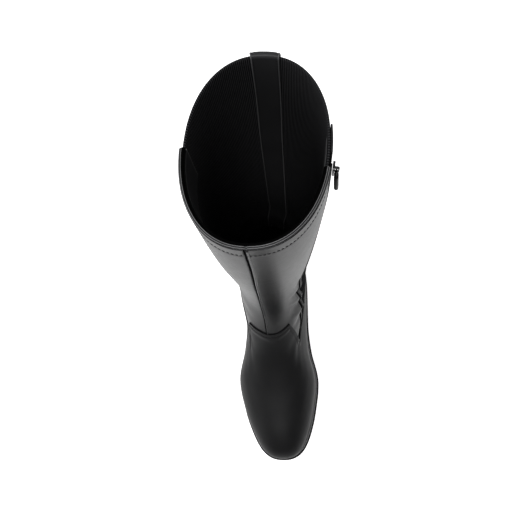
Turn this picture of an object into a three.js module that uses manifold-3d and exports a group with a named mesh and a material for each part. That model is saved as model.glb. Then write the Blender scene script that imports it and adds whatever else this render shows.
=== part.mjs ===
import * as THREE from "three";
import { mergeVertices } from "three/addons/utils/BufferGeometryUtils.js";
import Module from "manifold-3d";

// A knee-high riding boot for the right foot, in millimetres, +Z up, the toe towards -Y and the inner side
// towards +X. The origin is on the floor under the middle of the heel. Lengths along the foot count forwards
// from the heel's back.

// Sole unit
const soleLength = 275;
const ballWidth = 98;
const outsoleThickness = 5;
const weltThickness = 3;
const weltSeat = 2;
const heelBlockHeight = 21;
const topLiftThickness = 6;
const heelLength = 66;
const heelTaper = 2.5;
const breastHollow = 4;
const shankEnd = 158;
const treadEnd = 214;
const toeSpring = 8;
const soleEdge = 3;
const soleUnderEdge = 1;
const ribDepth = 0.8;
const weltInset = 0.6;
const weltBevel = 0.8;
const weltBevelRise = 2.1;
const insoleThickness = 3;

// Upper
const throatHeight = 108;
const ankleHeight = 150;
const bootHeight = 410;
const collarDepth = 146;
const collarWidth = 102;
const legPlace = 56;
const legLean = 20.5;
const legTwist = 2.6;
const wall = 2;
const fit = 0.3;
const vampLeather = 1.7;
const panelLeather = 1.3;
const liningLeather = 1;

// Trim
const strapWidth = 22;
const strapLeather = 1.3;
const strapFit = 0.5;
const pipingWidth = 4.6;
const pipingHeight = 3.6;
const seamPipingWidth = 2.2;
const seamPipingRise = 0.9;
const facingDepth = 42;
const zipTapeWidth = 6.4;
const zipTapeThickness = 0.6;
const zipChainWidth = 4.4;
const zipChainThickness = 1.6;
const zipFit = 0.75;

// Slider and pull tab
const sliderPlace = 14;
const sliderLength = 13;
const sliderWidth = 8;
const sliderThickness = 1.6;
const sliderTail = 4.8;
const sliderWaist = 7.2;
const sliderNose = 4;
const sliderShoulder = 3.9;
const bridgeLength = 7;
const bridgeWidth = 1.8;
const bridgeHeight = 3.4;
const bridgeBar = 1;
const pullLength = 31;
const pullWidth = 5.2;
const pullThickness = 1.2;
const pullEyeWidth = 2.8;
const pullEyeLength = 5.4;
const pullEyeBar = 1.1;
const gripPlace = 8;
const gripWidth = 5.6;
const gripThickness = 3.2;
const gripBevel = 0.9;

// Angles around the boot, in degrees from the middle of the back
const stripBack = 75;
const guardBack = 83.5;
const zipBack = 92;
const zipMiddle = 96.5;
const zipFront = 101;
const frontMiddle = 180;
const seamEdge = 177.6;
const backAngles = [0, 10, 20, 30, 40, 50, 60, 68, stripBack, guardBack, zipBack];
const frontAngles = [zipFront, 110, 119, 131, 141, 150, 158, 165.5, 172, seamEdge];

// Angles at which the zip's further turn over the ankle fades out
const swingBack = 50;
const swingFront = 150;

const featherInset = soleEdge + vampLeather + fit;
const lastLength = soleLength - 2 * featherInset;
const heelHeight = heelBlockHeight + topLiftThickness;
const shaftHeight = bootHeight - ankleHeight;
const originPlace = heelLength / 2;

// Facets of the small round pieces, and the steps and reaches of the searches over the face
const pipingSides = 8;
const foldSteps = 6;
const strapColumns = 4;
const breastSteps = 6;
const heelSideSteps = 9;
const facingRows = 3;
const sliderCurve = 4;
const pullCurve = 6;
const searchSteps = 40;
const angleStep = 0.5;
const levelStep = 0.1;
const besideReach = 45;
const heelReach = 170;

const { clamp, degToRad, lerp, mapLinear, smoothstep } = THREE.MathUtils;
const sequence = (count) => Array.from({ length: count }, (_, index) => index);
const between = (low, high, count) => sequence(count + 1).map((index) => lerp(low, high, index / count));
const table = (keys, rows) => rows.map((row) => Object.fromEntries(keys.map((key, at) => [key, row[at]])));

// Half width and sideways shift of the last's edge, as shares of the ball width, by place along the last
const lastEdge = table(
  ["along", "half", "shift"],
  [
    [-0.05, 0.37, -0.01],
    [0.13, 0.37, 0],
    [0.4, 0.33, 0.018],
    [0.53, 0.37, 0.02],
    [0.66, 0.452, 0.036],
    [0.8, 0.44, 0.062],
    [0.92, 0.42, 0.094],
    [1.05, 0.43, 0.13],
  ],
);
const waistPlace = 0.25;
const forepartPlace = 0.6;

// Side of the outsole: shares of its thickness from below, and how far each line lies inside its edge
const outsoleSide = table(
  ["up", "inset"],
  [
    [0, soleUnderEdge],
    [0.2, 0],
    [0.4, 0],
    [0.5, ribDepth],
    [0.6, ribDepth],
    [0.7, 0],
    [1, 0],
  ],
);

// Closed rings up the foot. back and front are shares of the last's length, backUp and frontUp are heights
// over the feather line as shares of the throat height, and heelWide and foreWide scale the last's edge. leg is
// how far the ring has turned into the leg's oval, square is the oval's exponent and follow is how closely the
// ring runs along the sole.
const footRings = table(
  ["back", "backUp", "front", "frontUp", "heelWide", "foreWide", "leg", "square", "follow"],
  [
    [0, 0, 1, 0, 1, 1, 0, 2.6, 1],
    [-0.006, 0.093, 1.006, 0.065, 1.07, 1.05, 0, 2.55, 1],
    [-0.009, 0.185, 0.996, 0.139, 1.09, 1.05, 0, 2.5, 0.95],
    [-0.008, 0.287, 0.966, 0.208, 1.08, 1.02, 0, 2.4, 0.9],
    [-0.002, 0.389, 0.909, 0.269, 1.06, 0.93, 0, 2.3, 0.7],
    [0.006, 0.49, 0.826, 0.32, 1.05, 0.82, 0, 2.2, 0.4],
    [0.011, 0.593, 0.721, 0.394, 1.05, 0.76, 0, 2.1, 0.15],
    [0.017, 0.7, 0.615, 0.519, 1.05, 0.8, 0.2, 2.05, 0],
    [0.021, 0.815, 0.543, 0.676, 1.05, 0.84, 0.45, 2.05, 0],
    [0.023, 0.935, 0.492, 0.852, 1.05, 0.9, 0.7, 2.05, 0],
    [0.023, 1.074, 0.453, 1.046, 1.05, 0.95, 0.9, 2.05, 0],
  ],
);
const ankleHalf = 0.355;
const ankleLean = 0.2;

// Closed rings up the leg. back and front are shares of the collar's depth from the leg's middle, the heights
// are shares of the shaft's height and half is a share of the collar's width. lean and twist are shares of the
// leg's own.
const legRings = table(
  ["back", "backUp", "front", "frontUp", "half", "lean", "twist", "square"],
  [
    [-0.33, 0.069, 0.431, 0.012, 0.358, 0.27, 0, 2.05],
    [-0.354, 0.173, 0.42, 0.146, 0.372, 0.34, 0.15, 2.05],
    [-0.403, 0.346, 0.444, 0.338, 0.417, 0.48, 0.4, 2.05],
    [-0.455, 0.577, 0.479, 0.577, 0.461, 0.67, 0.7, 2.1],
    [-0.49, 0.788, 0.4965, 0.788, 0.49, 0.86, 0.9, 2.15],
    [-0.5, 1, 0.5, 1, 0.5, 1, 1, 2.2],
  ],
);

// How far the patterns are turned outwards with the foot, and how much further forwards the zip runs over the
// ankle, in degrees by ring number
const turns = table(
  ["ring", "turn", "zip"],
  [
    [0, 0, 0],
    [2, 0, 0],
    [5.5, 4.8, 0],
    [7.5, 7.2, 7],
    [9, 8.3, 13],
    [10, 9, 17],
    [11.2, 11.7, 21],
    [12, 10.2, 19],
    [13, 6.3, 12],
    [14, 2.8, 5],
    [15, 1.3, 1],
    [16, 1, 0],
  ],
);

// Top edge of the vamp by angle, as a ring number on the inner and the outer side: low at the throat, a peak
// on either side of it and a notch behind the peak
const vampTop = table(
  ["angle", "inner", "outer"],
  [
    [0, 7.6, 7.6],
    [60, 6.2, 8],
    [83.5, 5.1, 8.1],
    [92, 5.3, 8],
    [101, 5.5, 7.7],
    [110, 6.5, 7],
    [119, 7.5, 6.1],
    [131, 8.5, 7.4],
    [141, 9.15, 8.4],
    [150, 9.1, 8.65],
    [165.5, 8.98, 8.88],
    [180, 8.9, 8.9],
  ],
);
const lapGap = 0.12;
const zipRise = 0.3;
const vampRows = 9;
const shaftRows = 9;
const strapInnerRow = 8;

const wasm = await Module();
wasm.setup();

// Smooth curve through the rows of a table, read at place on its axis column
function smoothRead(rows, axis, key, place) {
  let at = 0;
  while (at < rows.length - 2 && place > rows[at + 1][axis]) at += 1;
  const slope = (index) => {
    const low = rows[Math.max(index - 1, 0)];
    const high = rows[Math.min(index + 1, rows.length - 1)];
    return (high[key] - low[key]) / (high[axis] - low[axis]);
  };
  const low = rows[at];
  const high = rows[at + 1];
  const span = high[axis] - low[axis];
  const t = clamp((place - low[axis]) / span, 0, 1);
  const bend = t * (1 - t) * ((1 - t) * slope(at) - t * slope(at + 1)) * span;
  const ease = t * t * (3 - 2 * t);
  return low[key] + (high[key] - low[key]) * ease + bend;
}

// Straight lines through the rows of a table
function straightRead(rows, axis, key, place) {
  let at = 0;
  while (at < rows.length - 2 && place > rows[at + 1][axis]) at += 1;
  const low = rows[at];
  const high = rows[at + 1];
  return mapLinear(place, low[axis], high[axis], low[key], high[key]);
}

// Underside of the outsole: level on the heel, down the shank, flat under the tread and up at the toe
function soleUnder(along) {
  const down = 1 - smoothstep(along, heelLength, shankEnd);
  const spring = Math.max(along - treadEnd, 0) / (soleLength - treadEnd);
  return heelHeight * down + toeSpring * spring * spring;
}
const outsoleTop = (along) => soleUnder(along) + outsoleThickness;
const weltTop = (along) => outsoleTop(along) + fit + weltThickness;
const featherLine = (along) => weltTop(along) + fit;

function footRing(row) {
  const back = featherInset + row.back * lastLength;
  const front = featherInset + row.front * lastLength;
  return {
    back,
    front,
    backUp: featherLine(featherInset) + row.backUp * throatHeight,
    frontUp: featherLine(soleLength - featherInset) + row.frontUp * throatHeight,
    heelWide: row.heelWide,
    foreWide: row.foreWide,
    legHalf: ankleHalf * collarWidth,
    leg: row.leg,
    lean: ankleLean * legLean,
    twist: 0,
    square: row.square,
    follow: row.follow,
  };
}

function legRing(row) {
  return {
    back: legPlace + row.back * collarDepth,
    front: legPlace + row.front * collarDepth,
    backUp: ankleHeight + row.backUp * shaftHeight,
    frontUp: ankleHeight + row.frontUp * shaftHeight,
    heelWide: 1,
    foreWide: 1,
    legHalf: row.half * collarWidth,
    leg: 1,
    lean: row.lean * legLean,
    twist: row.twist * legTwist,
    square: row.square,
    follow: 0,
  };
}

const numbered = (ring, number) => ({ ...ring, number });
const rings = [...footRings.map(footRing), ...legRings.map(legRing)].map(numbered);
const collarRing = rings.length - 1;
const ringKeys = Object.keys(rings[0]).filter((key) => key !== "number");

function ringAt(level) {
  const ring = {};
  for (const key of ringKeys) ring[key] = smoothRead(rings, "number", key, level);
  return ring;
}

// The upper's outer face: angle in degrees from the back, positive on the inner side, and level as a ring
// number
function bareForm(angle, level) {
  const ring = ringAt(level);
  const turn = Math.cos(degToRad(angle));
  const share = (1 - turn) / 2;
  const along = lerp(ring.back, ring.front, share);
  const place = (along - featherInset) / lastLength;
  const oval = Math.pow(Math.max(1 - Math.pow(Math.abs(turn), ring.square), 0), 1 / ring.square);
  const forward = smoothstep(place, waistPlace, forepartPlace);
  const edge = smoothRead(lastEdge, "along", "half", place) * ballWidth;
  const footHalf = edge * lerp(ring.heelWide, ring.foreWide, forward);
  const half = lerp(footHalf, ring.legHalf, ring.leg) * oval;
  const footShift = smoothRead(lastEdge, "along", "shift", place) * ballWidth;
  const legShift = ring.lean + ring.twist * turn;
  const shift = lerp(footShift, legShift, ring.leg);
  const chord = lerp(featherLine(ring.back), featherLine(ring.front), share);
  const sag = ring.follow * (featherLine(along) - chord);
  const up = lerp(ring.backUp, ring.frontUp, share) + sag;
  return new THREE.Vector3(shift + half * Math.sign(angle), originPlace - along, up);
}

// How far a pattern's angle is turned round the leg, with the zip further forwards where it bends at the ankle
function patternTurn(angle, level) {
  const side = smoothstep(angle, swingBack, zipBack) * (1 - smoothstep(angle, zipFront, swingFront));
  return smoothRead(turns, "ring", "turn", level) + side * smoothRead(turns, "ring", "zip", level);
}

// The same face by pattern angle, which may run past the front middle
function form(angle, level) {
  const turned = angle + patternTurn(angle, level);
  const laps = Math.abs(turned) > frontMiddle ? Math.sign(turned) : 0;
  return bareForm(turned - laps * 2 * frontMiddle, level);
}

// Frame of the face: around along the ring, up along the leg and out of the boot, which is level at the
// feather and at the collar
function faceFrame(angle, level) {
  const low = Math.max(level - levelStep, 0);
  const high = Math.min(level + levelStep, collarRing);
  const around = form(angle + angleStep, level).sub(form(angle - angleStep, level));
  const up = form(angle, high).sub(form(angle, low)).normalize();
  const out = new THREE.Vector3().crossVectors(up, around);
  const flatten = Math.min(level, collarRing - level, 1);
  out.z *= flatten;
  out.normalize();
  return { around: around.normalize(), up, out };
}

// A point off the outer face: positive offsets are outside the boot
function skin(angle, level, offset) {
  return form(angle, level).addScaledVector(faceFrame(angle, level).out, offset);
}

// The angle that lies so many millimetres along the ring from another
function beside(angle, level, distance) {
  const start = form(angle, level);
  const way = Math.sign(distance);
  let low = 0;
  let high = besideReach;
  for (let step = 0; step < searchSteps; step += 1) {
    const middle = (low + high) / 2;
    const reach = form(angle + way * middle, level).distanceTo(start);
    if (reach < Math.abs(distance)) low = middle;
    else high = middle;
  }
  return angle + way * low;
}

// The level at which the face passes a height over the floor
function levelAt(angle, height) {
  let low = 0;
  let high = collarRing;
  for (let step = 0; step < searchSteps; step += 1) {
    const middle = (low + high) / 2;
    if (form(angle, middle).z < height) low = middle;
    else high = middle;
  }
  return low;
}

// Closed mesh from its corners and faces, turned so that its volume is positive
function closedGeometry(points, faces) {
  let volume = 0;
  for (const [a, b, c] of faces) volume += points[a].dot(points[b].clone().cross(points[c]));
  const index = volume > 0 ? faces.flat() : faces.flatMap(([a, b, c]) => [a, c, b]);
  const geometry = new THREE.BufferGeometry();
  geometry.setAttribute("position", new THREE.Float32BufferAttribute(points.flatMap((p) => p.toArray()), 3));
  geometry.setIndex(index);
  geometry.computeVertexNormals();
  return geometry;
}

function quad(faces, a, b, c, d) {
  if (a !== b && b !== c && a !== c) faces.push([a, b, c]);
  if (a !== c && c !== d && a !== d) faces.push([a, c, d]);
}

// Side faces between neighbouring loops of equal length
function joinLoops(faces, low, high, count) {
  for (let at = 0; at < count; at += 1) {
    const next = (at + 1) % count;
    quad(faces, low + at, low + next, high + next, high + at);
  }
}

// Ladder of faces that closes a loop; a loop with a pole has one point on its middle line at the start
function closeLoop(faces, start, count, pole, turned) {
  let left = 0;
  let right = pole ? count : count - 1;
  while (right - left > 1) {
    const corners = [left, left + 1, right - 1, right].map((index) => start + (index % count));
    if (turned) corners.reverse();
    quad(faces, ...corners);
    left += 1;
    right -= 1;
  }
}

// Loops stacked from one closed end to the other
function stacked(loops, pole) {
  const count = loops[0].length;
  const faces = [];
  loops.slice(1).forEach((_, at) => joinLoops(faces, at * count, (at + 1) * count, count));
  closeLoop(faces, 0, count, pole, true);
  closeLoop(faces, (loops.length - 1) * count, count, pole, false);
  return closedGeometry(loops.flat(), faces);
}

// Level loops stacked from one flat end to the other, which may be hollow on a side
function stackedFlat(loops) {
  const count = loops[0].length;
  const faces = [];
  loops.slice(1).forEach((_, at) => joinLoops(faces, at * count, (at + 1) * count, count));
  const outline = loops[0].map((point) => new THREE.Vector2(point.x, point.y));
  const clockwise = THREE.ShapeUtils.isClockWise(outline);
  const last = (loops.length - 1) * count;
  for (const [a, b, c] of THREE.ShapeUtils.triangulateShape(outline, [])) {
    faces.push(clockwise ? [a, b, c] : [c, b, a]);
    faces.push(clockwise ? [c + last, b + last, a + last] : [a + last, b + last, c + last]);
  }
  return closedGeometry(loops.flat(), faces);
}

// Loops that come back to the first one, as a ring's section does
function wrapped(loops) {
  const count = loops[0].length;
  const faces = [];
  loops.forEach((_, at) => joinLoops(faces, at * count, ((at + 1) % loops.length) * count, count));
  return closedGeometry(loops.flat(), faces);
}

// Wall between two skins of equal rows, both split along the same diagonals; a round one meets itself.
// slants says for each column whether its diagonals climb forwards.
function walled(outer, inner, round, slants) {
  const rows = outer.length;
  const columns = outer[0].length;
  const faces = [];
  const at = (row, column) => row * columns + (column % columns);
  const under = rows * columns;
  const last = round ? columns : columns - 1;
  for (let column = 0; column < last; column += 1) {
    for (let row = 0; row < rows - 1; row += 1) {
      const corners = [at(row, column), at(row, column + 1), at(row + 1, column + 1), at(row + 1, column)];
      if (!slants[column]) corners.push(corners.shift());
      quad(faces, ...corners);
      quad(faces, ...[corners[0], corners[3], corners[2], corners[1]].map((index) => index + under));
    }
    const [low, lowNext] = [at(0, column), at(0, column + 1)];
    const [high, highNext] = [at(rows - 1, column), at(rows - 1, column + 1)];
    quad(faces, lowNext, low, low + under, lowNext + under);
    quad(faces, high, highNext, highNext + under, high + under);
  }
  for (let row = 0; row < rows - 1 && !round; row += 1) {
    const [near, nearNext] = [at(row, 0), at(row + 1, 0)];
    const [far, farNext] = [at(row, columns - 1), at(row + 1, columns - 1)];
    quad(faces, near, nearNext, nearNext + under, near + under);
    quad(faces, farNext, far, far + under, farNext + under);
  }
  return closedGeometry([...outer.flat(), ...inner.flat()], faces);
}

// Angles of a whole ring, inner side first, back to the start
const halfRing = [...backAngles, zipMiddle, ...frontAngles];
const mirrored = (angles) => angles.map((angle) => -angle).reverse();
const wholeRing = [...halfRing, frontMiddle, ...mirrored(halfRing.slice(1))];
const outerAngles = mirrored([zipBack, zipMiddle, ...frontAngles]);

// Row levels: evenly up to the vamp's edge, then evenly to the collar
const vampEdge = (angle) => straightRead(vampTop, "angle", angle < 0 ? "outer" : "inner", Math.abs(angle));
const vampLevel = (angle, row) => (vampEdge(angle) * row) / vampRows;
const panelEdge = (angle) => vampEdge(angle) + lapGap;
const shaftLevel = (angle, row) => lerp(panelEdge(angle), collarRing, row / shaftRows);
const shaftStart = vampRows + 1;
const upperLevel = (angle, row) => {
  return row < shaftStart ? vampLevel(angle, row) : shaftLevel(angle, row - shaftStart);
};

// Part of the boot's wall between two offsets, over the angles and rows given
function wallPart(angles, levelOf, rows, inner, outer, round = false) {
  const line = (row, offset) => angles.map((angle) => skin(angle, levelOf(angle, row), offset));
  const face = (offset) => rows.map((row) => line(row, offset));
  const slants = angles.map((angle, at) => vampEdge(angle) >= vampEdge(angles[(at + 1) % angles.length]));
  return walled(face(outer), face(inner), round, slants);
}

const finishes = {
  leather: new THREE.MeshStandardMaterial({ color: 0x17171a, roughness: 0.42 }),
  panelLeather: new THREE.MeshStandardMaterial({ color: 0x1f1f23, roughness: 0.4 }),
  textile: new THREE.MeshStandardMaterial({ color: 0x101012, roughness: 0.9 }),
  rubber: new THREE.MeshStandardMaterial({ color: 0x141414, roughness: 0.65 }),
  footbed: new THREE.MeshStandardMaterial({ color: 0x26262a, roughness: 0.8 }),
  metal: new THREE.MeshStandardMaterial({ color: 0xb8b8bc, roughness: 0.25, metalness: 1 }),
  darkMetal: new THREE.MeshStandardMaterial({ color: 0x1c1c1e, roughness: 0.4, metalness: 0.6 }),
};

const boot = new THREE.Group();
function add(name, geometry, material) {
  const mesh = new THREE.Mesh(geometry, material);
  mesh.name = name;
  boot.add(mesh);
  return mesh;
}

// Loop of the sole unit: the feather line moved outwards by so much, at the height of the foot beside it
function soleLoop(offset, heightAt) {
  return wholeRing.map((angle) => skin(angle, 0, offset).setZ(heightAt(originPlace - form(angle, 0).y)));
}

// Hollow upper of the lining and the stretch back, open at the collar and over the sole
function addUpper() {
  const rows = sequence(shaftStart + shaftRows + 1);
  add("upper", wallPart(wholeRing, upperLevel, rows, -wall, 0, true), finishes.textile);
}

// Foot part, lapped over the shaft, with its waved top edge
function addVamp() {
  const rows = sequence(vampRows + 1);
  add("vamp", wallPart(wholeRing, vampLevel, rows, fit, fit + vampLeather, true), finishes.leather);
}

// Outsole with two ribs along its side
function addOutsole() {
  const loops = outsoleSide.map(({ up, inset }) => {
    return soleLoop(featherInset - inset, (along) => soleUnder(along) + up * outsoleThickness);
  });
  add("outsole", stacked(loops, true), finishes.rubber);
}

// Welt round the feather line, under the upper's edge
function addWelt() {
  const low = (along) => outsoleTop(along) + fit;
  const mid = (along) => low(along) + weltBevelRise;
  const inner = -wall - weltSeat;
  const loops = [
    soleLoop(featherInset - weltInset, low),
    soleLoop(featherInset - weltInset, mid),
    soleLoop(featherInset - weltInset - weltBevel, weltTop),
    soleLoop(inner, weltTop),
    soleLoop(inner, low),
  ];
  add("welt", wrapped(loops), finishes.rubber);
}

// Insole: a core inside the welt and a footbed inside the upper
function addInsole() {
  const core = -wall - weltSeat - fit;
  const bed = -wall - fit;
  const seat = (along) => weltTop(along) + fit;
  const loops = [
    soleLoop(core, (along) => outsoleTop(along) + fit),
    soleLoop(core, seat),
    soleLoop(bed, seat),
    soleLoop(bed, (along) => seat(along) + insoleThickness),
  ];
  add("insole", stacked(loops, true), finishes.footbed);
}

// Loop of the heel: round the back of the outsole and across a hollow breast
function heelLoop(offset, length, heightAt) {
  const breastAngle = angleAt(length, offset);
  const turns = between(0, breastAngle, heelSideSteps).slice(1);
  const inside = turns.map((angle) => skin(angle, 0, offset));
  const outside = turns.map((angle) => skin(-angle, 0, offset)).reverse();
  const across = between(0, 1, breastSteps).slice(1, -1).map((share) => {
    const point = inside.at(-1).clone().lerp(outside[0], share);
    return point.setY(point.y + breastHollow * 4 * share * (1 - share));
  });
  const points = [skin(0, 0, offset), ...inside, ...across, ...outside];
  return points.map((point) => point.setZ(heightAt(originPlace - point.y)));
}

// Angle of the feather line whose offset point lies so far from the offset back
function angleAt(reach, offset) {
  const back = skin(0, 0, offset).y;
  let low = 0;
  let high = heelReach;
  for (let step = 0; step < searchSteps; step += 1) {
    const middle = (low + high) / 2;
    if (back - skin(middle, 0, offset).y < reach) low = middle;
    else high = middle;
  }
  return low;
}

// Stacked heel block and its top lift, which is flat on the floor
function addHeel() {
  const out = featherInset - soleUnderEdge;
  const under = (along) => soleUnder(along) - fit;
  const liftTop = () => topLiftThickness;
  const blockFoot = () => topLiftThickness + fit;
  const block = [
    heelLoop(out - heelTaper, heelLength - heelTaper, blockFoot),
    heelLoop(out, heelLength, under),
  ];
  add("heel_block", stackedFlat(block), finishes.rubber);
  const lift = [
    heelLoop(out - heelTaper, heelLength - heelTaper, () => 0),
    heelLoop(out - heelTaper, heelLength - heelTaper, liftTop),
  ];
  add("top_lift", stackedFlat(lift), finishes.rubber);
}

// Front leather on both sides of the middle seam, and the strip behind the zip
function addPanels() {
  const rows = sequence(shaftRows + 1);
  const strip = backAngles.slice(backAngles.indexOf(stripBack));
  const pieces = { front_panel_inner: frontAngles, front_panel_outer: outerAngles, zip_strip: strip };
  for (const [name, angles] of Object.entries(pieces)) {
    add(name, wallPart(angles, shaftLevel, rows, fit, fit + panelLeather), finishes.panelLeather);
  }
}

// A place beside an angle, on the same row of the wall, at an offset from the face
function placed(angle, levelOf, row, across, offset) {
  const beyond = across === 0 ? angle : beside(angle, levelOf(angle, row), across);
  return skin(beyond, levelOf(beyond, row), offset);
}

// A strip along the leg: each loop has places across it, in millimetres and offsets, around one angle
function strip(angle, levelOf, section) {
  const loops = sequence(shaftRows + 1).map((row) => {
    return section.map(([across, offset]) => placed(angle, levelOf, row, across, offset));
  });
  return stacked(loops, false);
}

// Piping in the middle front seam
function addSeamPiping() {
  const half = seamPipingWidth / 2;
  const leather = fit + panelLeather;
  const crown = leather + seamPipingRise;
  const section = [
    [-half, fit], [-half, leather], [-half / 2, crown], [half / 2, crown], [half, leather], [half, fit],
  ].map(([across, offset]) => [-across, offset]);
  add("seam_piping", strip(frontMiddle, shaftLevel, section), finishes.leather);
}

// Piped binding on the leather part of the collar, over its layers
function addCollarPiping() {
  const middle = (panelLeather - wall - liningLeather) / 2;
  const turns = between(0, 2 * Math.PI, pipingSides).slice(1);
  const loops = [...frontAngles, frontMiddle, ...outerAngles].map((angle) => turns.map((turn) => {
    const point = skin(angle, collarRing, middle + (Math.cos(turn) * pipingWidth) / 2);
    return point.setZ(point.z + fit + ((1 + Math.sin(turn)) * pipingHeight) / 2);
  }));
  add("collar_piping", stacked(loops, true), finishes.leather);
}

// Smooth leather inside the front of the collar, and the guard behind the zip
function addLinings() {
  const outer = -wall - fit;
  const inner = outer - liningLeather;
  const rows = sequence(facingRows + 1);
  const facingEnd = (angle) => levelAt(angle, bootHeight - facingDepth);
  const depth = (angle, row) => lerp(facingEnd(angle), collarRing, row / facingRows);
  const facing = [...frontAngles.slice(1), frontMiddle, ...outerAngles];
  add("facing", wallPart(facing, depth, rows, inner, outer), finishes.leather);
  const guard = [guardBack, zipBack, zipMiddle, zipFront];
  const guardRows = sequence(shaftRows + 1);
  add("zip_guard", wallPart(guard, shaftLevel, guardRows, inner, outer), finishes.leather);
}

// Strap down the back: up the outside, over the collar and down the inside
function addBackStrap() {
  const places = between(-strapWidth / 2, strapWidth / 2, strapColumns);
  const top = shaftStart + shaftRows;
  const loop = (row, near, far, nearLift = 0, farLift = 0) => {
    const line = (offset, lift) => places.map((place) => {
      const point = placed(0, upperLevel, row, place, offset);
      return point.setZ(point.z + lift);
    });
    return [...line(far, farLift), ...line(near, nearLift).reverse()];
  };
  const upwards = between(shaftStart, top, shaftRows);
  const outside = upwards.map((row) => loop(row, strapFit, strapFit + strapLeather));
  const under = wall / 2 + strapFit;
  const over = under + strapLeather;
  const fold = between(0, Math.PI, foldSteps).slice(1, -1).map((turn) => {
    const [near, far] = [under, over].map((radius) => radius * Math.cos(turn) - wall / 2);
    const [nearLift, farLift] = [under, over].map((radius) => radius * Math.sin(turn));
    return loop(top, near, far, nearLift, farLift);
  });
  const inner = -wall - strapFit;
  const downwards = between(top, strapInnerRow, top - strapInnerRow);
  const inside = downwards.map((row) => loop(row, inner, inner - strapLeather));
  add("back_strap", stacked([...outside, ...fold, ...inside], false), finishes.leather);
}

// Zip: a tape with its closed chain raised along the middle
function addZip() {
  const tape = zipTapeWidth / 2;
  const chain = zipChainWidth / 2;
  const low = zipFit + zipTapeThickness;
  const high = zipFit + zipChainThickness;
  const section = [
    [tape, zipFit], [tape, low], [chain, low], [chain, high],
    [-chain, high], [-chain, low], [-tape, low], [-tape, zipFit],
  ];
  const zipLevel = (angle, row) => shaftLevel(angle, row) + (row === 0 ? zipRise : 0);
  add("zip", strip(zipMiddle, zipLevel, section), finishes.textile);
}

function manifoldOf(geometry) {
  const bare = geometry.clone();
  bare.deleteAttribute("normal");
  bare.deleteAttribute("uv");
  const merged = mergeVertices(bare, 1e-4);
  const vertProperties = merged.attributes.position.array;
  const triVerts = Uint32Array.from(merged.index.array);
  return new wasm.Manifold(new wasm.Mesh({ numProp: 3, vertProperties, triVerts }));
}

function geometryOf(manifold) {
  const mesh = manifold.getMesh();
  const geometry = new THREE.BufferGeometry();
  geometry.setAttribute("position", new THREE.Float32BufferAttribute(mesh.vertProperties, 3));
  geometry.setIndex(Array.from(mesh.triVerts));
  geometry.computeVertexNormals();
  return geometry;
}

// Slider near the top of the zip, with the bridge that carries the pull tab.
// Its own frame has x around the boot, y up the zip and z out of the boot.
function sliderGeometry() {
  const half = sliderWidth / 2;
  const tail = sliderTail / 2;
  const waist = sliderWaist / 2;
  const nose = sliderNose / 2;
  const end = sliderLength / 2;
  const plate = new THREE.Shape();
  plate.moveTo(-tail, -end);
  plate.lineTo(tail, -end);
  plate.quadraticCurveTo(waist, 0, half, sliderShoulder);
  plate.quadraticCurveTo(half, end, nose, end);
  plate.lineTo(-nose, end);
  plate.quadraticCurveTo(-half, end, -half, sliderShoulder);
  plate.quadraticCurveTo(-waist, 0, -tail, -end);
  const body = new THREE.ExtrudeGeometry(plate, {
    depth: sliderThickness,
    bevelEnabled: false,
    curveSegments: sliderCurve,
  });
  const sink = sliderThickness / 2;
  const reach = bridgeLength / 2;
  const arch = new THREE.Shape();
  arch.moveTo(-reach, -sink);
  arch.lineTo(-reach, bridgeHeight - bridgeBar);
  arch.lineTo(-reach + bridgeBar, bridgeHeight);
  arch.lineTo(reach - bridgeBar, bridgeHeight);
  arch.lineTo(reach, bridgeHeight - bridgeBar);
  arch.lineTo(reach, -sink);
  arch.lineTo(reach - bridgeBar, -sink);
  arch.lineTo(reach - bridgeBar, bridgeHeight - bridgeBar);
  arch.lineTo(-reach + bridgeBar, bridgeHeight - bridgeBar);
  arch.lineTo(-reach + bridgeBar, -sink);
  arch.closePath();
  const bridge = new THREE.ExtrudeGeometry(arch, { depth: bridgeWidth, bevelEnabled: false });
  bridge.translate(0, 0, -bridgeWidth / 2);
  const sideways = new THREE.Matrix4().makeBasis(
    new THREE.Vector3(0, 1, 0), new THREE.Vector3(0, 0, 1), new THREE.Vector3(1, 0, 0),
  );
  bridge.applyMatrix4(sideways);
  bridge.translate(0, 0, sliderThickness);
  return geometryOf(manifoldOf(body).add(manifoldOf(bridge)));
}

// Pull tab with its eye and its moulded grip; its own origin is on the middle of the bar that turns under the
// bridge
function pullGeometry() {
  const half = pullWidth / 2;
  const bar = pullEyeBar / 2;
  const tip = bar - pullLength;
  const tab = new THREE.Shape();
  tab.moveTo(-half, bar);
  tab.lineTo(-half, tip + half);
  tab.absarc(0, tip + half, half, Math.PI, 2 * Math.PI, false);
  tab.lineTo(half, bar);
  tab.closePath();
  const eye = new THREE.Path();
  eye.moveTo(-pullEyeWidth / 2, -bar);
  eye.lineTo(pullEyeWidth / 2, -bar);
  eye.lineTo(pullEyeWidth / 2, -bar - pullEyeLength);
  eye.lineTo(-pullEyeWidth / 2, -bar - pullEyeLength);
  eye.closePath();
  tab.holes.push(eye);
  const plate = new THREE.ExtrudeGeometry(tab, {
    depth: pullThickness,
    bevelEnabled: false,
    curveSegments: pullCurve,
  });
  plate.translate(0, 0, -pullThickness / 2);
  const edge = gripWidth / 2 - gripBevel;
  const outline = new THREE.Shape();
  outline.moveTo(-edge, -gripPlace - gripBevel);
  outline.lineTo(-edge, tip + half);
  outline.absarc(0, tip + half, edge, Math.PI, 2 * Math.PI, false);
  outline.lineTo(edge, -gripPlace - gripBevel);
  outline.closePath();
  const grip = new THREE.ExtrudeGeometry(outline, {
    depth: gripThickness - 2 * gripBevel,
    bevelThickness: gripBevel,
    bevelSize: gripBevel,
    bevelSegments: 1,
    curveSegments: pullCurve,
  });
  grip.translate(0, 0, gripBevel - gripThickness / 2);
  return geometryOf(manifoldOf(plate).add(manifoldOf(grip)));
}

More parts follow.
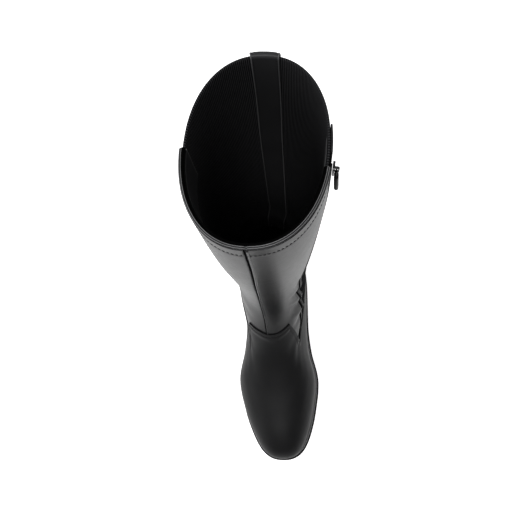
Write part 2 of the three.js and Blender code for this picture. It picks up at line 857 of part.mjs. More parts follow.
function addSliderAndPull() {
  const level = levelAt(zipMiddle, bootHeight - sliderPlace);
  const face = faceFrame(zipMiddle, level);
  const up = face.up;
  const across = new THREE.Vector3().crossVectors(up, face.out).normalize();
  const out = new THREE.Vector3().crossVectors(across, up);
  const seat = skin(zipMiddle, level, zipFit + zipChainThickness + fit);
  const turned = new THREE.Matrix4().makeBasis(across, up, out);
  const slider = add("zip_slider", sliderGeometry(), finishes.metal);
  slider.position.copy(seat);
  slider.quaternion.setFromRotationMatrix(turned);
  const hole = bridgeLength / 2 - bridgeBar;
  const drop = hole - pullEyeBar;
  const rise = sliderThickness + (bridgeHeight - bridgeBar) / 2;
  const pull = add("zip_pull", pullGeometry(), finishes.darkMetal);
  pull.position.copy(seat).addScaledVector(up, -drop).addScaledVector(out, rise);
  const plumb = new THREE.Vector3(0, 0, 1).addScaledVector(across, -across.z).normalize();
  const facing = new THREE.Vector3().crossVectors(across, plumb);
  pull.quaternion.setFromRotationMatrix(new THREE.Matrix4().makeBasis(across, plumb, facing));
}

addUpper();
addVamp();
addOutsole();
addWelt();
addInsole();
addHeel();
addPanels();
addSeamPiping();
addCollarPiping();
addLinings();
addBackStrap();
addZip();
addSliderAndPull();

export default boot;
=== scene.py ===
# %% [markdown]
# # A knee-high riding boot
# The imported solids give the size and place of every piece. This lesson dresses them: each leather, textile
# and rubber piece is made again with fine faces, soft folds, stitches and a finish of its own. One function
# describes the boot's face, and every piece is a cut of it, as a maker cuts every pattern on one last.

# %% Load the solids
import math

import bmesh
import bpy
import numpy
from mathutils import Matrix, Vector


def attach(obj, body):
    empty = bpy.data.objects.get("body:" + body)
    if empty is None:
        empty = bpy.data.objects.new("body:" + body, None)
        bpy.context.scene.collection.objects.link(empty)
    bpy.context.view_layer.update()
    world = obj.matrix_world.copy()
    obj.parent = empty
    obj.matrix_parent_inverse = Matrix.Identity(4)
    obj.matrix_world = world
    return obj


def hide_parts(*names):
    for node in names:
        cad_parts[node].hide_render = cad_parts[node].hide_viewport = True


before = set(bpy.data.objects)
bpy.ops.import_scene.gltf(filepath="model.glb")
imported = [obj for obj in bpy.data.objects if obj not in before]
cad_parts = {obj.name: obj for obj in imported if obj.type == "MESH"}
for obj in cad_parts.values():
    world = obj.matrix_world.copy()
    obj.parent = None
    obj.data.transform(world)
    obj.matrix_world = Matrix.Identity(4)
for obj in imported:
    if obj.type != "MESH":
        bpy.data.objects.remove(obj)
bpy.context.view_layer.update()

MM = 0.001
BODY = "boot"

# %% [markdown]
# ## The camera
# The boot is looked down on from in front and above, from less than a metre away, so near things look much
# larger than far ones. A camera can be aimed at the boot, or it can be kept level with the pair and its film
# shifted sideways, as a studio camera is. The shift keeps the shape that the pair has in the picture.

# %% Camera
CAMERA_PLACE = (0.076, -0.2135, 0.7988)
CAMERA_TILT = math.radians(16)
CAMERA_LENS = 43.4
CAMERA_SENSOR = 36
CAMERA_SHIFT = -0.155
scene = bpy.context.scene
camera_data = bpy.data.cameras.new("camera")
camera_data.lens = CAMERA_LENS
camera_data.sensor_width = CAMERA_SENSOR
camera_data.shift_x = CAMERA_SHIFT
camera = bpy.data.objects.new("camera", camera_data)
camera.location = CAMERA_PLACE
camera.rotation_euler = (CAMERA_TILT, 0, 0)
scene.collection.objects.link(camera)
scene.camera = camera

# %% [markdown]
# ## The last
# A shoemaker's last is measured by its sole, its throat and its leg. Here closed rings climb from the sole to
# the collar. Each ring is a rounded oval between its back and its front, and smooth curves run through the
# table's columns. An angle goes round the boot from the middle of the back, positive on the inner side.

# %% Sizes of the boot, in millimetres
SOLE_LENGTH = 275
BALL_WIDTH = 98
OUTSOLE = 5
WELT = 3
WELT_SEAT = 2
HEEL_BLOCK = 21
TOP_LIFT = 6
HEEL_LENGTH = 66
HEEL_TAPER = 2.5
BREAST_HOLLOW = 4
SHANK_END = 158
TREAD_END = 214
TOE_SPRING = 8
SOLE_EDGE = 3
INSOLE = 3
THROAT_HEIGHT = 108
ANKLE_HEIGHT = 150
BOOT_HEIGHT = 410
COLLAR_DEPTH = 146
COLLAR_WIDTH = 102
LEG_PLACE = 56
LEG_LEAN = 20.5
LEG_TWIST = 2.6
WALL = 2
FIT = 0.3
VAMP_LEATHER = 1.7
PANEL_LEATHER = 1.3
LINING_LEATHER = 1
STRAP_WIDTH = 22
STRAP_LEATHER = 1.3
STRAP_FIT = 0.5

FEATHER_INSET = SOLE_EDGE + VAMP_LEATHER + FIT
LAST_LENGTH = SOLE_LENGTH - 2 * FEATHER_INSET
HEEL_HEIGHT = HEEL_BLOCK + TOP_LIFT
SHAFT_HEIGHT = BOOT_HEIGHT - ANKLE_HEIGHT
ORIGIN_PLACE = HEEL_LENGTH / 2


def table(names, rows):
    """Columns of a table, by name."""
    return dict(zip(names.split(), numpy.array(rows, float).T))


last_edge = table("along half shift", [
    [-0.05, 0.37, -0.01],
    [0.13, 0.37, 0],
    [0.4, 0.33, 0.018],
    [0.53, 0.37, 0.02],
    [0.66, 0.452, 0.036],
    [0.8, 0.44, 0.062],
    [0.92, 0.42, 0.094],
    [1.05, 0.43, 0.13],
])
WAIST_PLACE = 0.25
FOREPART_PLACE = 0.6

foot_rings = table("back back_up front front_up heel_wide fore_wide leg square follow", [
    [0, 0, 1, 0, 1, 1, 0, 2.6, 1],
    [-0.006, 0.093, 1.006, 0.065, 1.07, 1.05, 0, 2.55, 1],
    [-0.009, 0.185, 0.996, 0.139, 1.09, 1.05, 0, 2.5, 0.95],
    [-0.008, 0.287, 0.966, 0.208, 1.08, 1.02, 0, 2.4, 0.9],
    [-0.002, 0.389, 0.909, 0.269, 1.06, 0.93, 0, 2.3, 0.7],
    [0.006, 0.49, 0.826, 0.32, 1.05, 0.82, 0, 2.2, 0.4],
    [0.011, 0.593, 0.721, 0.394, 1.05, 0.76, 0, 2.1, 0.15],
    [0.017, 0.7, 0.615, 0.519, 1.05, 0.8, 0.2, 2.05, 0],
    [0.021, 0.815, 0.543, 0.676, 1.05, 0.84, 0.45, 2.05, 0],
    [0.023, 0.935, 0.492, 0.852, 1.05, 0.9, 0.7, 2.05, 0],
    [0.023, 1.074, 0.453, 1.046, 1.05, 0.95, 0.9, 2.05, 0],
])
ANKLE_HALF = 0.355
ANKLE_LEAN = 0.2

leg_rings = table("back back_up front front_up half lean twist square", [
    [-0.33, 0.069, 0.431, 0.012, 0.358, 0.27, 0, 2.05],
    [-0.354, 0.173, 0.42, 0.146, 0.372, 0.34, 0.15, 2.05],
    [-0.403, 0.346, 0.444, 0.338, 0.417, 0.48, 0.4, 2.05],
    [-0.455, 0.577, 0.479, 0.577, 0.461, 0.67, 0.7, 2.1],
    [-0.49, 0.788, 0.4965, 0.788, 0.49, 0.86, 0.9, 2.15],
    [-0.5, 1, 0.5, 1, 0.5, 1, 1, 2.2],
])

# %% Reading a table smoothly


def smooth_read(rows, axis, key, place):
    """Smooth curve through a column, read at places on its axis."""
    ticks = rows[axis]
    values = rows[key]
    slopes = numpy.concatenate([
        [(values[1] - values[0]) / (ticks[1] - ticks[0])],
        (values[2:] - values[:-2]) / (ticks[2:] - ticks[:-2]),
        [(values[-1] - values[-2]) / (ticks[-1] - ticks[-2])],
    ])
    place = numpy.asarray(place, float)
    at = numpy.clip(numpy.searchsorted(ticks, place) - 1, 0, len(ticks) - 2)
    span = ticks[at + 1] - ticks[at]
    share = numpy.clip((place - ticks[at]) / span, 0, 1)
    bend = share * (1 - share) * ((1 - share) * slopes[at] - share * slopes[at + 1]) * span
    ease = share * share * (3 - 2 * share)
    return values[at] + (values[at + 1] - values[at]) * ease + bend


def smooth_step(place, low, high):
    """Soft step from 0 at low to 1 at high."""
    share = numpy.clip((numpy.asarray(place, float) - low) / (high - low), 0, 1)
    return share * share * (3 - 2 * share)


def blend(low, high, share):
    """The value that lies the given share of the way from low to high."""
    return low + (high - low) * share


# %% Heights of the sole


def sole_under(along):
    """Underside of the outsole: level on the heel, flat under the tread, up at the toe."""
    down = 1 - smooth_step(along, HEEL_LENGTH, SHANK_END)
    spring = numpy.maximum(numpy.asarray(along, float) - TREAD_END, 0) / (SOLE_LENGTH - TREAD_END)
    return HEEL_HEIGHT * down + TOE_SPRING * spring * spring


def outsole_top(along):
    """Upper face of the outsole."""
    return sole_under(along) + OUTSOLE


def welt_top(along):
    """Upper face of the welt."""
    return outsole_top(along) + FIT + WELT


def feather_line(along):
    """Line where the upper meets the sole."""
    return welt_top(along) + FIT


# %% Rings of foot and leg in one table
flat_foot = numpy.zeros(len(foot_rings["back"]))
flat_leg = numpy.zeros(len(leg_rings["back"]))
whole_leg = flat_leg + 1
rings = {
    "back": numpy.concatenate([
        FEATHER_INSET + foot_rings["back"] * LAST_LENGTH,
        LEG_PLACE + leg_rings["back"] * COLLAR_DEPTH,
    ]),
    "front": numpy.concatenate([
        FEATHER_INSET + foot_rings["front"] * LAST_LENGTH,
        LEG_PLACE + leg_rings["front"] * COLLAR_DEPTH,
    ]),
    "back_up": numpy.concatenate([
        feather_line(FEATHER_INSET) + foot_rings["back_up"] * THROAT_HEIGHT,
        ANKLE_HEIGHT + leg_rings["back_up"] * SHAFT_HEIGHT,
    ]),
    "front_up": numpy.concatenate([
        feather_line(SOLE_LENGTH - FEATHER_INSET) + foot_rings["front_up"] * THROAT_HEIGHT,
        ANKLE_HEIGHT + leg_rings["front_up"] * SHAFT_HEIGHT,
    ]),
    "heel_wide": numpy.concatenate([foot_rings["heel_wide"], whole_leg]),
    "fore_wide": numpy.concatenate([foot_rings["fore_wide"], whole_leg]),
    "leg_half": numpy.concatenate([
        flat_foot + ANKLE_HALF * COLLAR_WIDTH,
        leg_rings["half"] * COLLAR_WIDTH,
    ]),
    "leg": numpy.concatenate([foot_rings["leg"], whole_leg]),
    "lean": numpy.concatenate([flat_foot + ANKLE_LEAN * LEG_LEAN, leg_rings["lean"] * LEG_LEAN]),
    "twist": numpy.concatenate([flat_foot, leg_rings["twist"] * LEG_TWIST]),
    "square": numpy.concatenate([foot_rings["square"], leg_rings["square"]]),
    "follow": numpy.concatenate([foot_rings["follow"], flat_leg]),
}
rings["number"] = numpy.arange(len(rings["back"]), dtype=float)
COLLAR = rings["number"][-1]
print("rings from sole to collar:", int(COLLAR) + 1)

# %% The boot's face
ANGLE_STEP = 0.5
LEVEL_STEP = 0.1
SWING_BACK = 50
SWING_FRONT = 150
STRIP_BACK = 75
GUARD_BACK = 83.5
ZIP_BACK = 92
ZIP_MIDDLE = 96.5
ZIP_FRONT = 101
turns = table("ring turn zip", [
    [0, 0, 0],
    [2, 0, 0],
    [5.5, 4.8, 0],
    [7.5, 7.2, 7],
    [9, 8.3, 13],
    [10, 9, 17],
    [11.2, 11.7, 21],
    [12, 10.2, 19],
    [13, 6.3, 12],
    [14, 2.8, 5],
    [15, 1.3, 1],
    [16, 1, 0],
])


def pattern_turn(angle, level):
    """Degrees by which the patterns are turned round the leg: with the foot, and forwards beside the zip."""
    side = smooth_step(angle, SWING_BACK, ZIP_BACK) * (1 - smooth_step(angle, ZIP_FRONT, SWING_FRONT))
    return smooth_read(turns, "ring", "turn", level) + side * smooth_read(turns, "ring", "zip", level)


def form(angle, level):
    """Points of the bare last: pattern angle in degrees from the back, level as a ring number."""
    angle = (numpy.asarray(angle, float) + 180) % 360 - 180
    angle = (angle + pattern_turn(angle, level) + 180) % 360 - 180
    read = {key: smooth_read(rings, "number", key, level) for key in rings if key != "number"}
    turn = numpy.cos(numpy.radians(angle))
    share = (1 - turn) / 2
    along = blend(read["back"], read["front"], share)
    place = (along - FEATHER_INSET) / LAST_LENGTH
    square = read["square"]
    oval = numpy.maximum(1 - numpy.abs(turn) ** square, 0) ** (1 / square)
    forward = smooth_step(place, WAIST_PLACE, FOREPART_PLACE)
    foot_half = smooth_read(last_edge, "along", "half", place) * BALL_WIDTH
    foot_half = foot_half * blend(read["heel_wide"], read["fore_wide"], forward)
    half = blend(foot_half, read["leg_half"], read["leg"]) * oval
    foot_shift = smooth_read(last_edge, "along", "shift", place) * BALL_WIDTH
    shift = blend(foot_shift, read["lean"] + read["twist"] * turn, read["leg"])
    chord = blend(feather_line(read["back"]), feather_line(read["front"]), share)
    sag = read["follow"] * (feather_line(along) - chord)
    up = blend(read["back_up"], read["front_up"], share) + sag
    return numpy.stack([shift + half * numpy.sign(angle), ORIGIN_PLACE - along, up], axis=-1)


def unit(rows):
    """The same directions, one unit long."""
    return rows / numpy.maximum(numpy.linalg.norm(rows, axis=-1, keepdims=True), 1e-9)


def outwards(angle, level):
    """Direction out of the face, level at the feather and at the collar."""
    level = numpy.asarray(level, float)
    around = form(angle + ANGLE_STEP, level) - form(angle - ANGLE_STEP, level)
    high = numpy.minimum(level + LEVEL_STEP, COLLAR)
    low = numpy.maximum(level - LEVEL_STEP, 0)
    out = numpy.cross(unit(form(angle, high) - form(angle, low)), around)
    out[..., 2] *= numpy.minimum(numpy.minimum(level, COLLAR - level), 1)
    return unit(out)


# %% [markdown]
# ## Folds
# Leather that has been put on once keeps soft folds at the ankle and over the instep. They could be simulated,
# but a few folds placed one by one look calmer and sit where a foot bends. Each row is one fold: a line over
# the face from one angle and height to another, its width and its depth in millimetres. A trough is pushed in
# and a ridge, with a negative depth, stands out. The side of the forefoot also draws in a little above the
# welt, so that the welt shows from above. All layers share both, so nothing cuts through its neighbour.

# %% Folds of the ankle and the instep
folds = table("angle height end_angle end_height width depth", [
    [86, 92, 122, 100, 5, 1.6],
    [84, 104, 124, 116, 4.5, -1.3],
    [82, 116, 126, 132, 5, 1.9],
    [80, 132, 124, 150, 5, -1.3],
    [78, 147, 122, 168, 5.5, 1.8],
    [76, 164, 116, 186, 6, -1.0],
    [74, 182, 110, 202, 7, 1.3],
    [50, 96, 84, 104, 6, 1.2],
    [44, 122, 80, 134, 7, 1.2],
    [40, 150, 76, 166, 8, 1.0],
    [-60, 100, -104, 112, 6, 1.3],
    [-56, 116, -112, 130, 6, -1.0],
    [-52, 132, -116, 150, 6, 1.5],
    [-48, 152, -110, 170, 7, -0.9],
    [-44, 170, -100, 190, 7, 1.1],
    [8, 128, 58, 118, 7, 0.9],
    [-6, 132, -52, 122, 7, 0.9],
    [10, 152, 52, 140, 8, 0.7],
    [124, 122, 150, 118, 8, 0.5],
    [-124, 124, -152, 119, 8, 0.5],
    [118, 84, 146, 74, 7, 0.6],
    [-120, 82, -148, 74, 7, 0.6],
])
DEGREE_WIDE = 0.78


FOLD_END = 0.35


def fold_depth(angle, height):
    """How far the folds push the face inwards, in millimetres."""
    depth = numpy.zeros_like(height)
    for row in range(len(folds["angle"])):
        fold = {key: column[row] for key, column in folds.items()}
        turn = (fold["end_angle"] - fold["angle"]) * DEGREE_WIDE
        run = numpy.array([turn, fold["end_height"] - fold["height"]])
        across = (angle - fold["angle"]) * DEGREE_WIDE
        rise = height - fold["height"]
        share = numpy.clip((across * run[0] + rise * run[1]) / run.dot(run), 0, 1)
        bow = numpy.sin(share * math.pi)
        off = numpy.hypot(across - share * run[0], rise - share * run[1])
        depth += fold["depth"] * numpy.exp(-((off / fold["width"]) ** 2)) * blend(FOLD_END, 1, bow)
    return depth


INNER_REVEAL = 2.2
OUTER_REVEAL = 0.8
REVEAL_LEVELS = (0, 1.2, 3.5, 7)
REVEAL_ANGLES = (70, 100)
TOE_ANGLES = (145, 180)
TOE_REVEAL = 0.3


def sole_reveal(angle, level):
    """How far the side of the forefoot draws in above the welt, in millimetres."""
    low, full, fade, high = REVEAL_LEVELS
    up = smooth_step(level, low, full) * (1 - smooth_step(level, fade, high))
    away = numpy.abs(angle)
    toe = 1 - (1 - TOE_REVEAL) * smooth_step(away, *TOE_ANGLES)
    most = blend(OUTER_REVEAL, INNER_REVEAL, (1 + numpy.sin(numpy.radians(angle))) / 2)
    return most * up * smooth_step(away, *REVEAL_ANGLES) * toe


def skin(angle, level, offset):
    """Points off the folded face, in millimetres; positive offsets are outside the boot."""
    angle, level, offset = numpy.broadcast_arrays(angle, level, offset)
    bare = form(angle, level)
    turned = (numpy.asarray(angle, float) + 180) % 360 - 180
    push = offset - fold_depth(turned, bare[..., 2]) - sole_reveal(turned, level)
    return bare + outwards(angle, level) * push[..., None]


def level_at(angle, height):
    """The level at which the bare face passes a height over the floor."""
    angle = numpy.asarray(angle, float)
    low = numpy.zeros_like(angle)
    high = numpy.full_like(angle, COLLAR)
    for _ in range(30):
        middle = (low + high) / 2
        below = form(angle, middle)[..., 2] < height
        low = numpy.where(below, middle, low)
        high = numpy.where(below, high, middle)
    return low


print("deepest fold", float(folds["depth"].max()), "mm")

# %% [markdown]
# ## Cutting leather
# A piece of leather is a sheet with rounded edges, closed all round. It starts as a plain grid for its outer
# face and one for its inner face, whose corners are moved onto the boot. Near an edge both faces run together
# on a quarter circle, so that the edge looks turned and catches a line of light. Rows are set closer there.

# %% Sheets and tubes on the face
EDGE_SHARES = (0, 0.04, 0.15, 0.35, 0.65, 1)


def edged(count, length, radius):
    """Shares along a side, in even steps with close ones at both rounded ends."""
    start = [share * radius / length for share in EDGE_SHARES]
    middle = numpy.linspace(start[-1], 1 - start[-1], count + 1)[1:-1]
    return numpy.array([*start, *middle, *[1 - share for share in reversed(start)]])


def evenly(count):
    """Shares along a side that meets itself or needs no rounded ends."""
    return numpy.linspace(0, 1, count + 1)


def rounding(shares, length, radius):
    """Share of the thickness that is left beside an edge."""
    inside = numpy.clip(numpy.minimum(shares, 1 - shares) * length / radius, 0, 1)
    return numpy.sqrt(numpy.maximum(1 - (1 - inside) ** 2, 0))


def placed_grid(mesh, across, along, place, turned):
    """Adds a grid to a mesh and moves its corners to place(share across, share along)."""
    columns = len(across) - 1
    rows = len(along) - 1
    chart = mesh.loops.layers.uv.verify()
    grid = bmesh.ops.create_grid(mesh, x_segments=columns, y_segments=rows, size=0.5, calc_uvs=True)
    corners = grid["verts"]
    shares = numpy.array([corner.co[:2] for corner in corners]) + 0.5
    column = numpy.rint(shares[:, 0] * columns).astype(int)
    row = numpy.rint(shares[:, 1] * rows).astype(int)
    spots, charts = place(across[column], along[row])
    faces = {face for corner in corners for face in corner.link_faces}
    order = {corner: number for number, corner in enumerate(corners)}
    for corner, spot in zip(corners, spots):
        corner.co = spot * MM
    for face in faces:
        for loop in face.loops:
            loop[chart].uv = charts[order[loop.vert]]
    if turned:
        bmesh.ops.reverse_faces(mesh, faces=list(faces))


def finish_mesh(mesh, name, weld=0.00002):
    """Welds a mesh's meeting corners and makes it an object."""
    bmesh.ops.remove_doubles(mesh, verts=mesh.verts, dist=weld)
    bmesh.ops.dissolve_degenerate(mesh, dist=0.000001, edges=mesh.edges)
    data = bpy.data.meshes.new(name)
    mesh.to_mesh(data)
    mesh.free()
    data.polygons.foreach_set("use_smooth", [True] * len(data.polygons))
    piece = bpy.data.objects.new(name, data)
    scene.collection.objects.link(piece)
    return piece


CHART_ROUND = 0.4
CHART_DEGREE = CHART_ROUND / 360


def sheet(name, across, along, face, inner, outer, size, radius, around=False):
    """A closed sheet of leather or textile between two offsets from the face.

    face gives angle and level for shares across and along; inner and outer give the offsets for the shares;
    size is its width and length in millimetres, which places the rounded edges."""
    mesh = bmesh.new()
    for side, turned in ((outer, True), (inner, False)):
        def place(u, v, side=side):
            angle, level = face(u, v)
            left = rounding(v, size[1], radius)
            if not around:
                left = left * rounding(u, size[0], radius)
            middle = (inner(u, v) + outer(u, v)) / 2
            offset = middle + (side(u, v) - middle) * left
            points = skin(angle, level, offset)
            charts = numpy.stack([angle * CHART_DEGREE, points[:, 2] * MM], axis=-1)
            return points, charts
        placed_grid(mesh, across, along, place, turned)
    piece = finish_mesh(mesh, name)
    print(name, len(piece.data.polygons), "faces")
    return piece


def level_sheet(value):
    """An offset that is the same all over a sheet."""
    return lambda u, v: numpy.full_like(u, value)


def dress(piece, node=None, body=BODY):
    """Puts a piece on its body and lets it stand for its node."""
    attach(piece, body)
    if node:
        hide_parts(node)
    return piece

# %% [markdown]
# ## Finishes
# Black leather is never one flat colour. It has a fine grain and a sheen that changes from place to place.
# Noise and small cells in the piece's own coordinates give both, so the grain stays on the piece when the boot
# is moved. Textile has ribs that follow the leg, so it reads the piece's chart instead. Strap, facing and the
# strip behind the zip read the chart too, because a painted highlight lies along their cut edges.

# %% Material helpers


class Finish:
    """A material that is built node by node."""

    def __init__(self, name, colour, roughness, metallic=0.0, specular=0.5):
        self.material = bpy.data.materials.new(name)
        self.material.use_nodes = True
        self.nodes = self.material.node_tree.nodes
        self.links = self.material.node_tree.links
        self.shader = self.nodes["Principled BSDF"]
        self.height = None
        sockets = self.shader.inputs
        sockets["Base Color"].default_value = (*colour, 1)
        sockets["Roughness"].default_value = roughness
        sockets["Metallic"].default_value = metallic
        sockets["Specular IOR Level"].default_value = specular

    def node(self, kind, **values):
        """Adds a node; keywords set its properties or, after 'in_', its sockets."""
        made = self.nodes.new(kind)
        for key, value in values.items():
            if key.startswith("in_"):
                made.inputs[key[3:].replace("_", " ")].default_value = value
            else:
                setattr(made, key, value)
        return made

    def join(self, source, target):
        """Links an output to an input."""
        self.links.new(source, target)

    def place(self):
        """The piece's own coordinates."""
        return self.node("ShaderNodeTexCoord").outputs["Object"]

    def chart(self):
        """The piece's chart, in metres round the leg and up it."""
        return self.node("ShaderNodeUVMap").outputs["UV"]

    def noise(self, where, scale, detail=2.0):
        """Soft noise."""
        noise = self.node("ShaderNodeTexNoise", in_Scale=scale, in_Detail=detail)
        self.join(where, noise.inputs["Vector"])
        return noise.outputs["Fac"]

    def cells(self, where, scale):
        """Distance to the edge of small cells, as of grain."""
        cells = self.node("ShaderNodeTexVoronoi", feature="DISTANCE_TO_EDGE", in_Scale=scale)
        self.join(where, cells.inputs["Vector"])
        return cells.outputs["Distance"]

    def mix(self, share, low, high):
        """Value between two numbers by a share."""
        mapped = self.node("ShaderNodeMapRange", in_To_Min=low, in_To_Max=high)
        self.join(share, mapped.inputs["Value"])
        return mapped.outputs["Result"]

    def tint(self, share, low, high):
        """Colour between two colours by a share."""
        mixed = self.node("ShaderNodeMix", data_type="RGBA")
        self.join(share, mixed.inputs["Factor"])
        for socket in mixed.inputs:
            if socket.type == "RGBA":
                socket.default_value = (*(low if socket.name == "A" else high), 1)
        colour = [socket for socket in mixed.outputs if socket.type == "RGBA"][0]
        self.join(colour, self.shader.inputs["Base Color"])

    def gloss(self, share, low, high):
        """Roughness between two values by a share."""
        self.join(self.mix(share, low, high), self.shader.inputs["Roughness"])

    def relief(self, height, depth):
        """Bump of so many metres, over any that is there."""
        bump = self.node("ShaderNodeBump", in_Distance=depth, in_Strength=1.0)
        self.join(height, bump.inputs["Height"])
        if self.height:
            self.join(self.height, bump.inputs["Normal"])
        self.height = bump.outputs["Normal"]
        self.join(self.height, self.shader.inputs["Normal"])

    def on(self, piece):
        """Puts the material on a piece."""
        piece.data.materials.clear()
        piece.data.materials.append(self.material)
        return piece


def leather(name, dark, light, rough, smooth, grain=0.00004, specular=0.5):
    """Smooth grained leather with a sheen that varies."""
    finish = Finish(name, light, rough, specular=specular)
    where = finish.place()
    clouds = finish.noise(where, 38, 4)
    finish.tint(clouds, dark, light)
    finish.gloss(finish.noise(where, 160, 3), smooth, rough)
    finish.relief(clouds, 0.00012)
    finish.relief(finish.cells(where, 1300), grain)
    return finish


WAVE_UNIT = math.tau / 20
WEAVE_PITCH = 0.0007
RIB_RELIEF = 0.00022
WEAVE_RELIEF = 0.00006


def ribbed(name, dark, light, pitch):
    """Stretch textile with fine upright ribs and a cross weave."""
    finish = Finish(name, light, 0.9, specular=0.05)
    chart = finish.chart()
    ribs = finish.node("ShaderNodeTexWave", bands_direction="X", in_Scale=WAVE_UNIT / pitch)
    finish.join(chart, ribs.inputs["Vector"])
    weave = finish.node("ShaderNodeTexWave", bands_direction="Y", in_Scale=WAVE_UNIT / WEAVE_PITCH)
    finish.join(chart, weave.inputs["Vector"])
    finish.tint(ribs.outputs["Fac"], dark, light)
    finish.relief(ribs.outputs["Fac"], RIB_RELIEF)
    finish.relief(weave.outputs["Fac"], WEAVE_RELIEF)
    return finish


def rubber(name, dark, light, rough, specular=0.4):
    """Moulded rubber with a faint bloom."""
    finish = Finish(name, light, rough, specular=specular)
    where = finish.place()
    clouds = finish.noise(where, 60, 5)
    finish.tint(clouds, dark, light)
    finish.gloss(clouds, rough - 0.08, rough + 0.1)
    finish.relief(finish.noise(where, 2200, 2), 0.00004)
    return finish


def metal(name, dark, light, rough):
    """Plated or lacquered metal with fine wear."""
    finish = Finish(name, light, rough, metallic=1.0)
    where = finish.place()
    wear = finish.noise(where, 900, 3)
    finish.tint(wear, dark, light)
    finish.gloss(wear, rough * 0.7, rough * 1.5)
    finish.relief(finish.noise(where, 2600, 2), 0.00001)
    return finish


# Widths of the painted highlight along cut edges, in metres of the chart.
EDGE_HIGHLIGHT_START = 0.0011
EDGE_HIGHLIGHT_FULL = 0.0005


def edge_highlight_leather(name, dark, light, edge, low, high, rough, smooth, specular=0.4):
    """Leather with a painted highlight, in the colour edge, along its cut edges; low and high are the corners
    of its chart, in metres.
    """
    finish = leather(name, dark, light, rough, smooth, specular=specular)
    plain = finish.shader.inputs["Base Color"].links[0].from_socket
    split = finish.node("ShaderNodeSeparateXYZ")
    finish.join(finish.chart(), split.inputs["Vector"])
    either = finish.node("ShaderNodeMath", operation="MAXIMUM")
    for number, (axis, start, end) in enumerate(zip("XY", low, high)):
        half = (end - start) / 2
        centred = finish.node("ShaderNodeMath", operation="SUBTRACT")
        centred.inputs[1].default_value = start + half
        finish.join(split.outputs[axis], centred.inputs[0])
        away = finish.node("ShaderNodeMath", operation="ABSOLUTE")
        finish.join(centred.outputs[0], away.inputs[0])
        highlight_band = finish.node("ShaderNodeMapRange", in_From_Min=half - EDGE_HIGHLIGHT_START, in_From_Max=half - EDGE_HIGHLIGHT_FULL)
        finish.join(away.outputs[0], highlight_band.inputs["Value"])
        finish.join(highlight_band.outputs["Result"], either.inputs[number])
    # The edge colour is a painted highlight along the cut edges.
    finish.tint(either.outputs[0], light, edge)
    mixed = finish.shader.inputs["Base Color"].links[0].from_node
    finish.join(plain, [socket for socket in mixed.inputs if socket.type == "RGBA"][0])
    return finish


def thread(name, dark, light):
    """Twisted thread."""
    finish = Finish(name, light, 0.6, specular=0.35)
    where = finish.place()
    twist = finish.noise(where, 2600, 2)
    finish.tint(twist, dark, light)
    finish.relief(twist, 0.00008)
    return finish


vamp_leather = leather("vamp_leather", (0.018, 0.018, 0.019), (0.027, 0.027, 0.028), 0.5, 0.42, specular=0.2)
panel_leather = leather("panel_leather", (0.009, 0.009, 0.010), (0.015, 0.015, 0.016), 0.42, 0.34)
# The piping's leather is paler than the panels' as a painted highlight on the cords.
piping_leather = leather("piping_leather", (0.022, 0.022, 0.023), (0.040, 0.040, 0.042), 0.36, 0.26, 0.00003)
STRAP_LENGTH = 600
FACING_DEPTH = 42
FACING_START = 110
FACING_END = 360 - ZIP_BACK
# Strap, strip and facing: dark and light leather, and a pale painted highlight along their cut edges.
strap_leather = edge_highlight_leather(
    "strap_leather", (0.034, 0.034, 0.036), (0.052, 0.052, 0.055), (0.18, 0.18, 0.185),
    (0, 0), (STRAP_WIDTH * MM, STRAP_LENGTH * MM), 0.5, 0.42,
)
strip_leather = edge_highlight_leather(
    "strip_leather", (0.002, 0.002, 0.003), (0.005, 0.005, 0.006), (0.04, 0.04, 0.042),
    (STRIP_BACK * CHART_DEGREE, 0), (ZIP_BACK * CHART_DEGREE, BOOT_HEIGHT * MM), 0.9, 0.8, 0.04,
)
facing_leather = edge_highlight_leather(
    "facing_leather", (0.030, 0.030, 0.032), (0.046, 0.046, 0.049), (0.24, 0.24, 0.245),
    (FACING_START * CHART_DEGREE, (BOOT_HEIGHT - FACING_DEPTH) * MM),
    (FACING_END * CHART_DEGREE, (BOOT_HEIGHT + FACING_DEPTH) * MM), 0.6, 0.5,
)
lining_leather = leather(
    "lining_leather", (0.007, 0.007, 0.008), (0.013, 0.013, 0.014), 0.7, 0.6, 0.00005, 0.3,
)
guard_leather = leather("guard_leather", (0.045, 0.045, 0.047), (0.07, 0.07, 0.073), 0.6, 0.5, 0.00005, 0.3)
# Pale leather on the collar piping's rolls and on the welt's bead: a painted highlight.
painted_highlight_leather = leather("painted_highlight_leather", (0.20, 0.20, 0.205), (0.32, 0.32, 0.325), 0.34, 0.24, 0.00003)
# Nearly black leather on the collar piping's inner flank: a painted shade.
painted_shade_flank = leather("painted_shade_flank", (0.002, 0.002, 0.002), (0.004, 0.004, 0.004), 0.9, 0.8, 0.00005, 0.1)
footbed_leather = leather(
    "footbed_leather", (0.014, 0.014, 0.015), (0.026, 0.026, 0.028), 0.8, 0.65, 0.00008, 0.3,
)
stretch_textile = ribbed("stretch_textile", (0.004, 0.004, 0.005), (0.075, 0.075, 0.079), 0.00175)
tape_textile = ribbed("tape_textile", (0.005, 0.005, 0.006), (0.014, 0.014, 0.015), 0.0008)
sole_rubber = rubber("sole_rubber", (0.003, 0.003, 0.003), (0.006, 0.006, 0.006), 0.75, 0.15)
welt_rubber = rubber("welt_rubber", (0.004, 0.004, 0.004), (0.008, 0.008, 0.008), 0.7, 0.15)
heel_finish = rubber("heel_finish", (0.008, 0.008, 0.008), (0.015, 0.015, 0.015), 0.45)
bright_metal = metal("bright_metal", (0.09, 0.09, 0.092), (0.20, 0.20, 0.205), 0.22)
dark_metal = metal("dark_metal", (0.003, 0.003, 0.003), (0.010, 0.010, 0.010), 0.35)
grey_thread = thread("grey_thread", (0.10, 0.10, 0.105), (0.22, 0.22, 0.225))
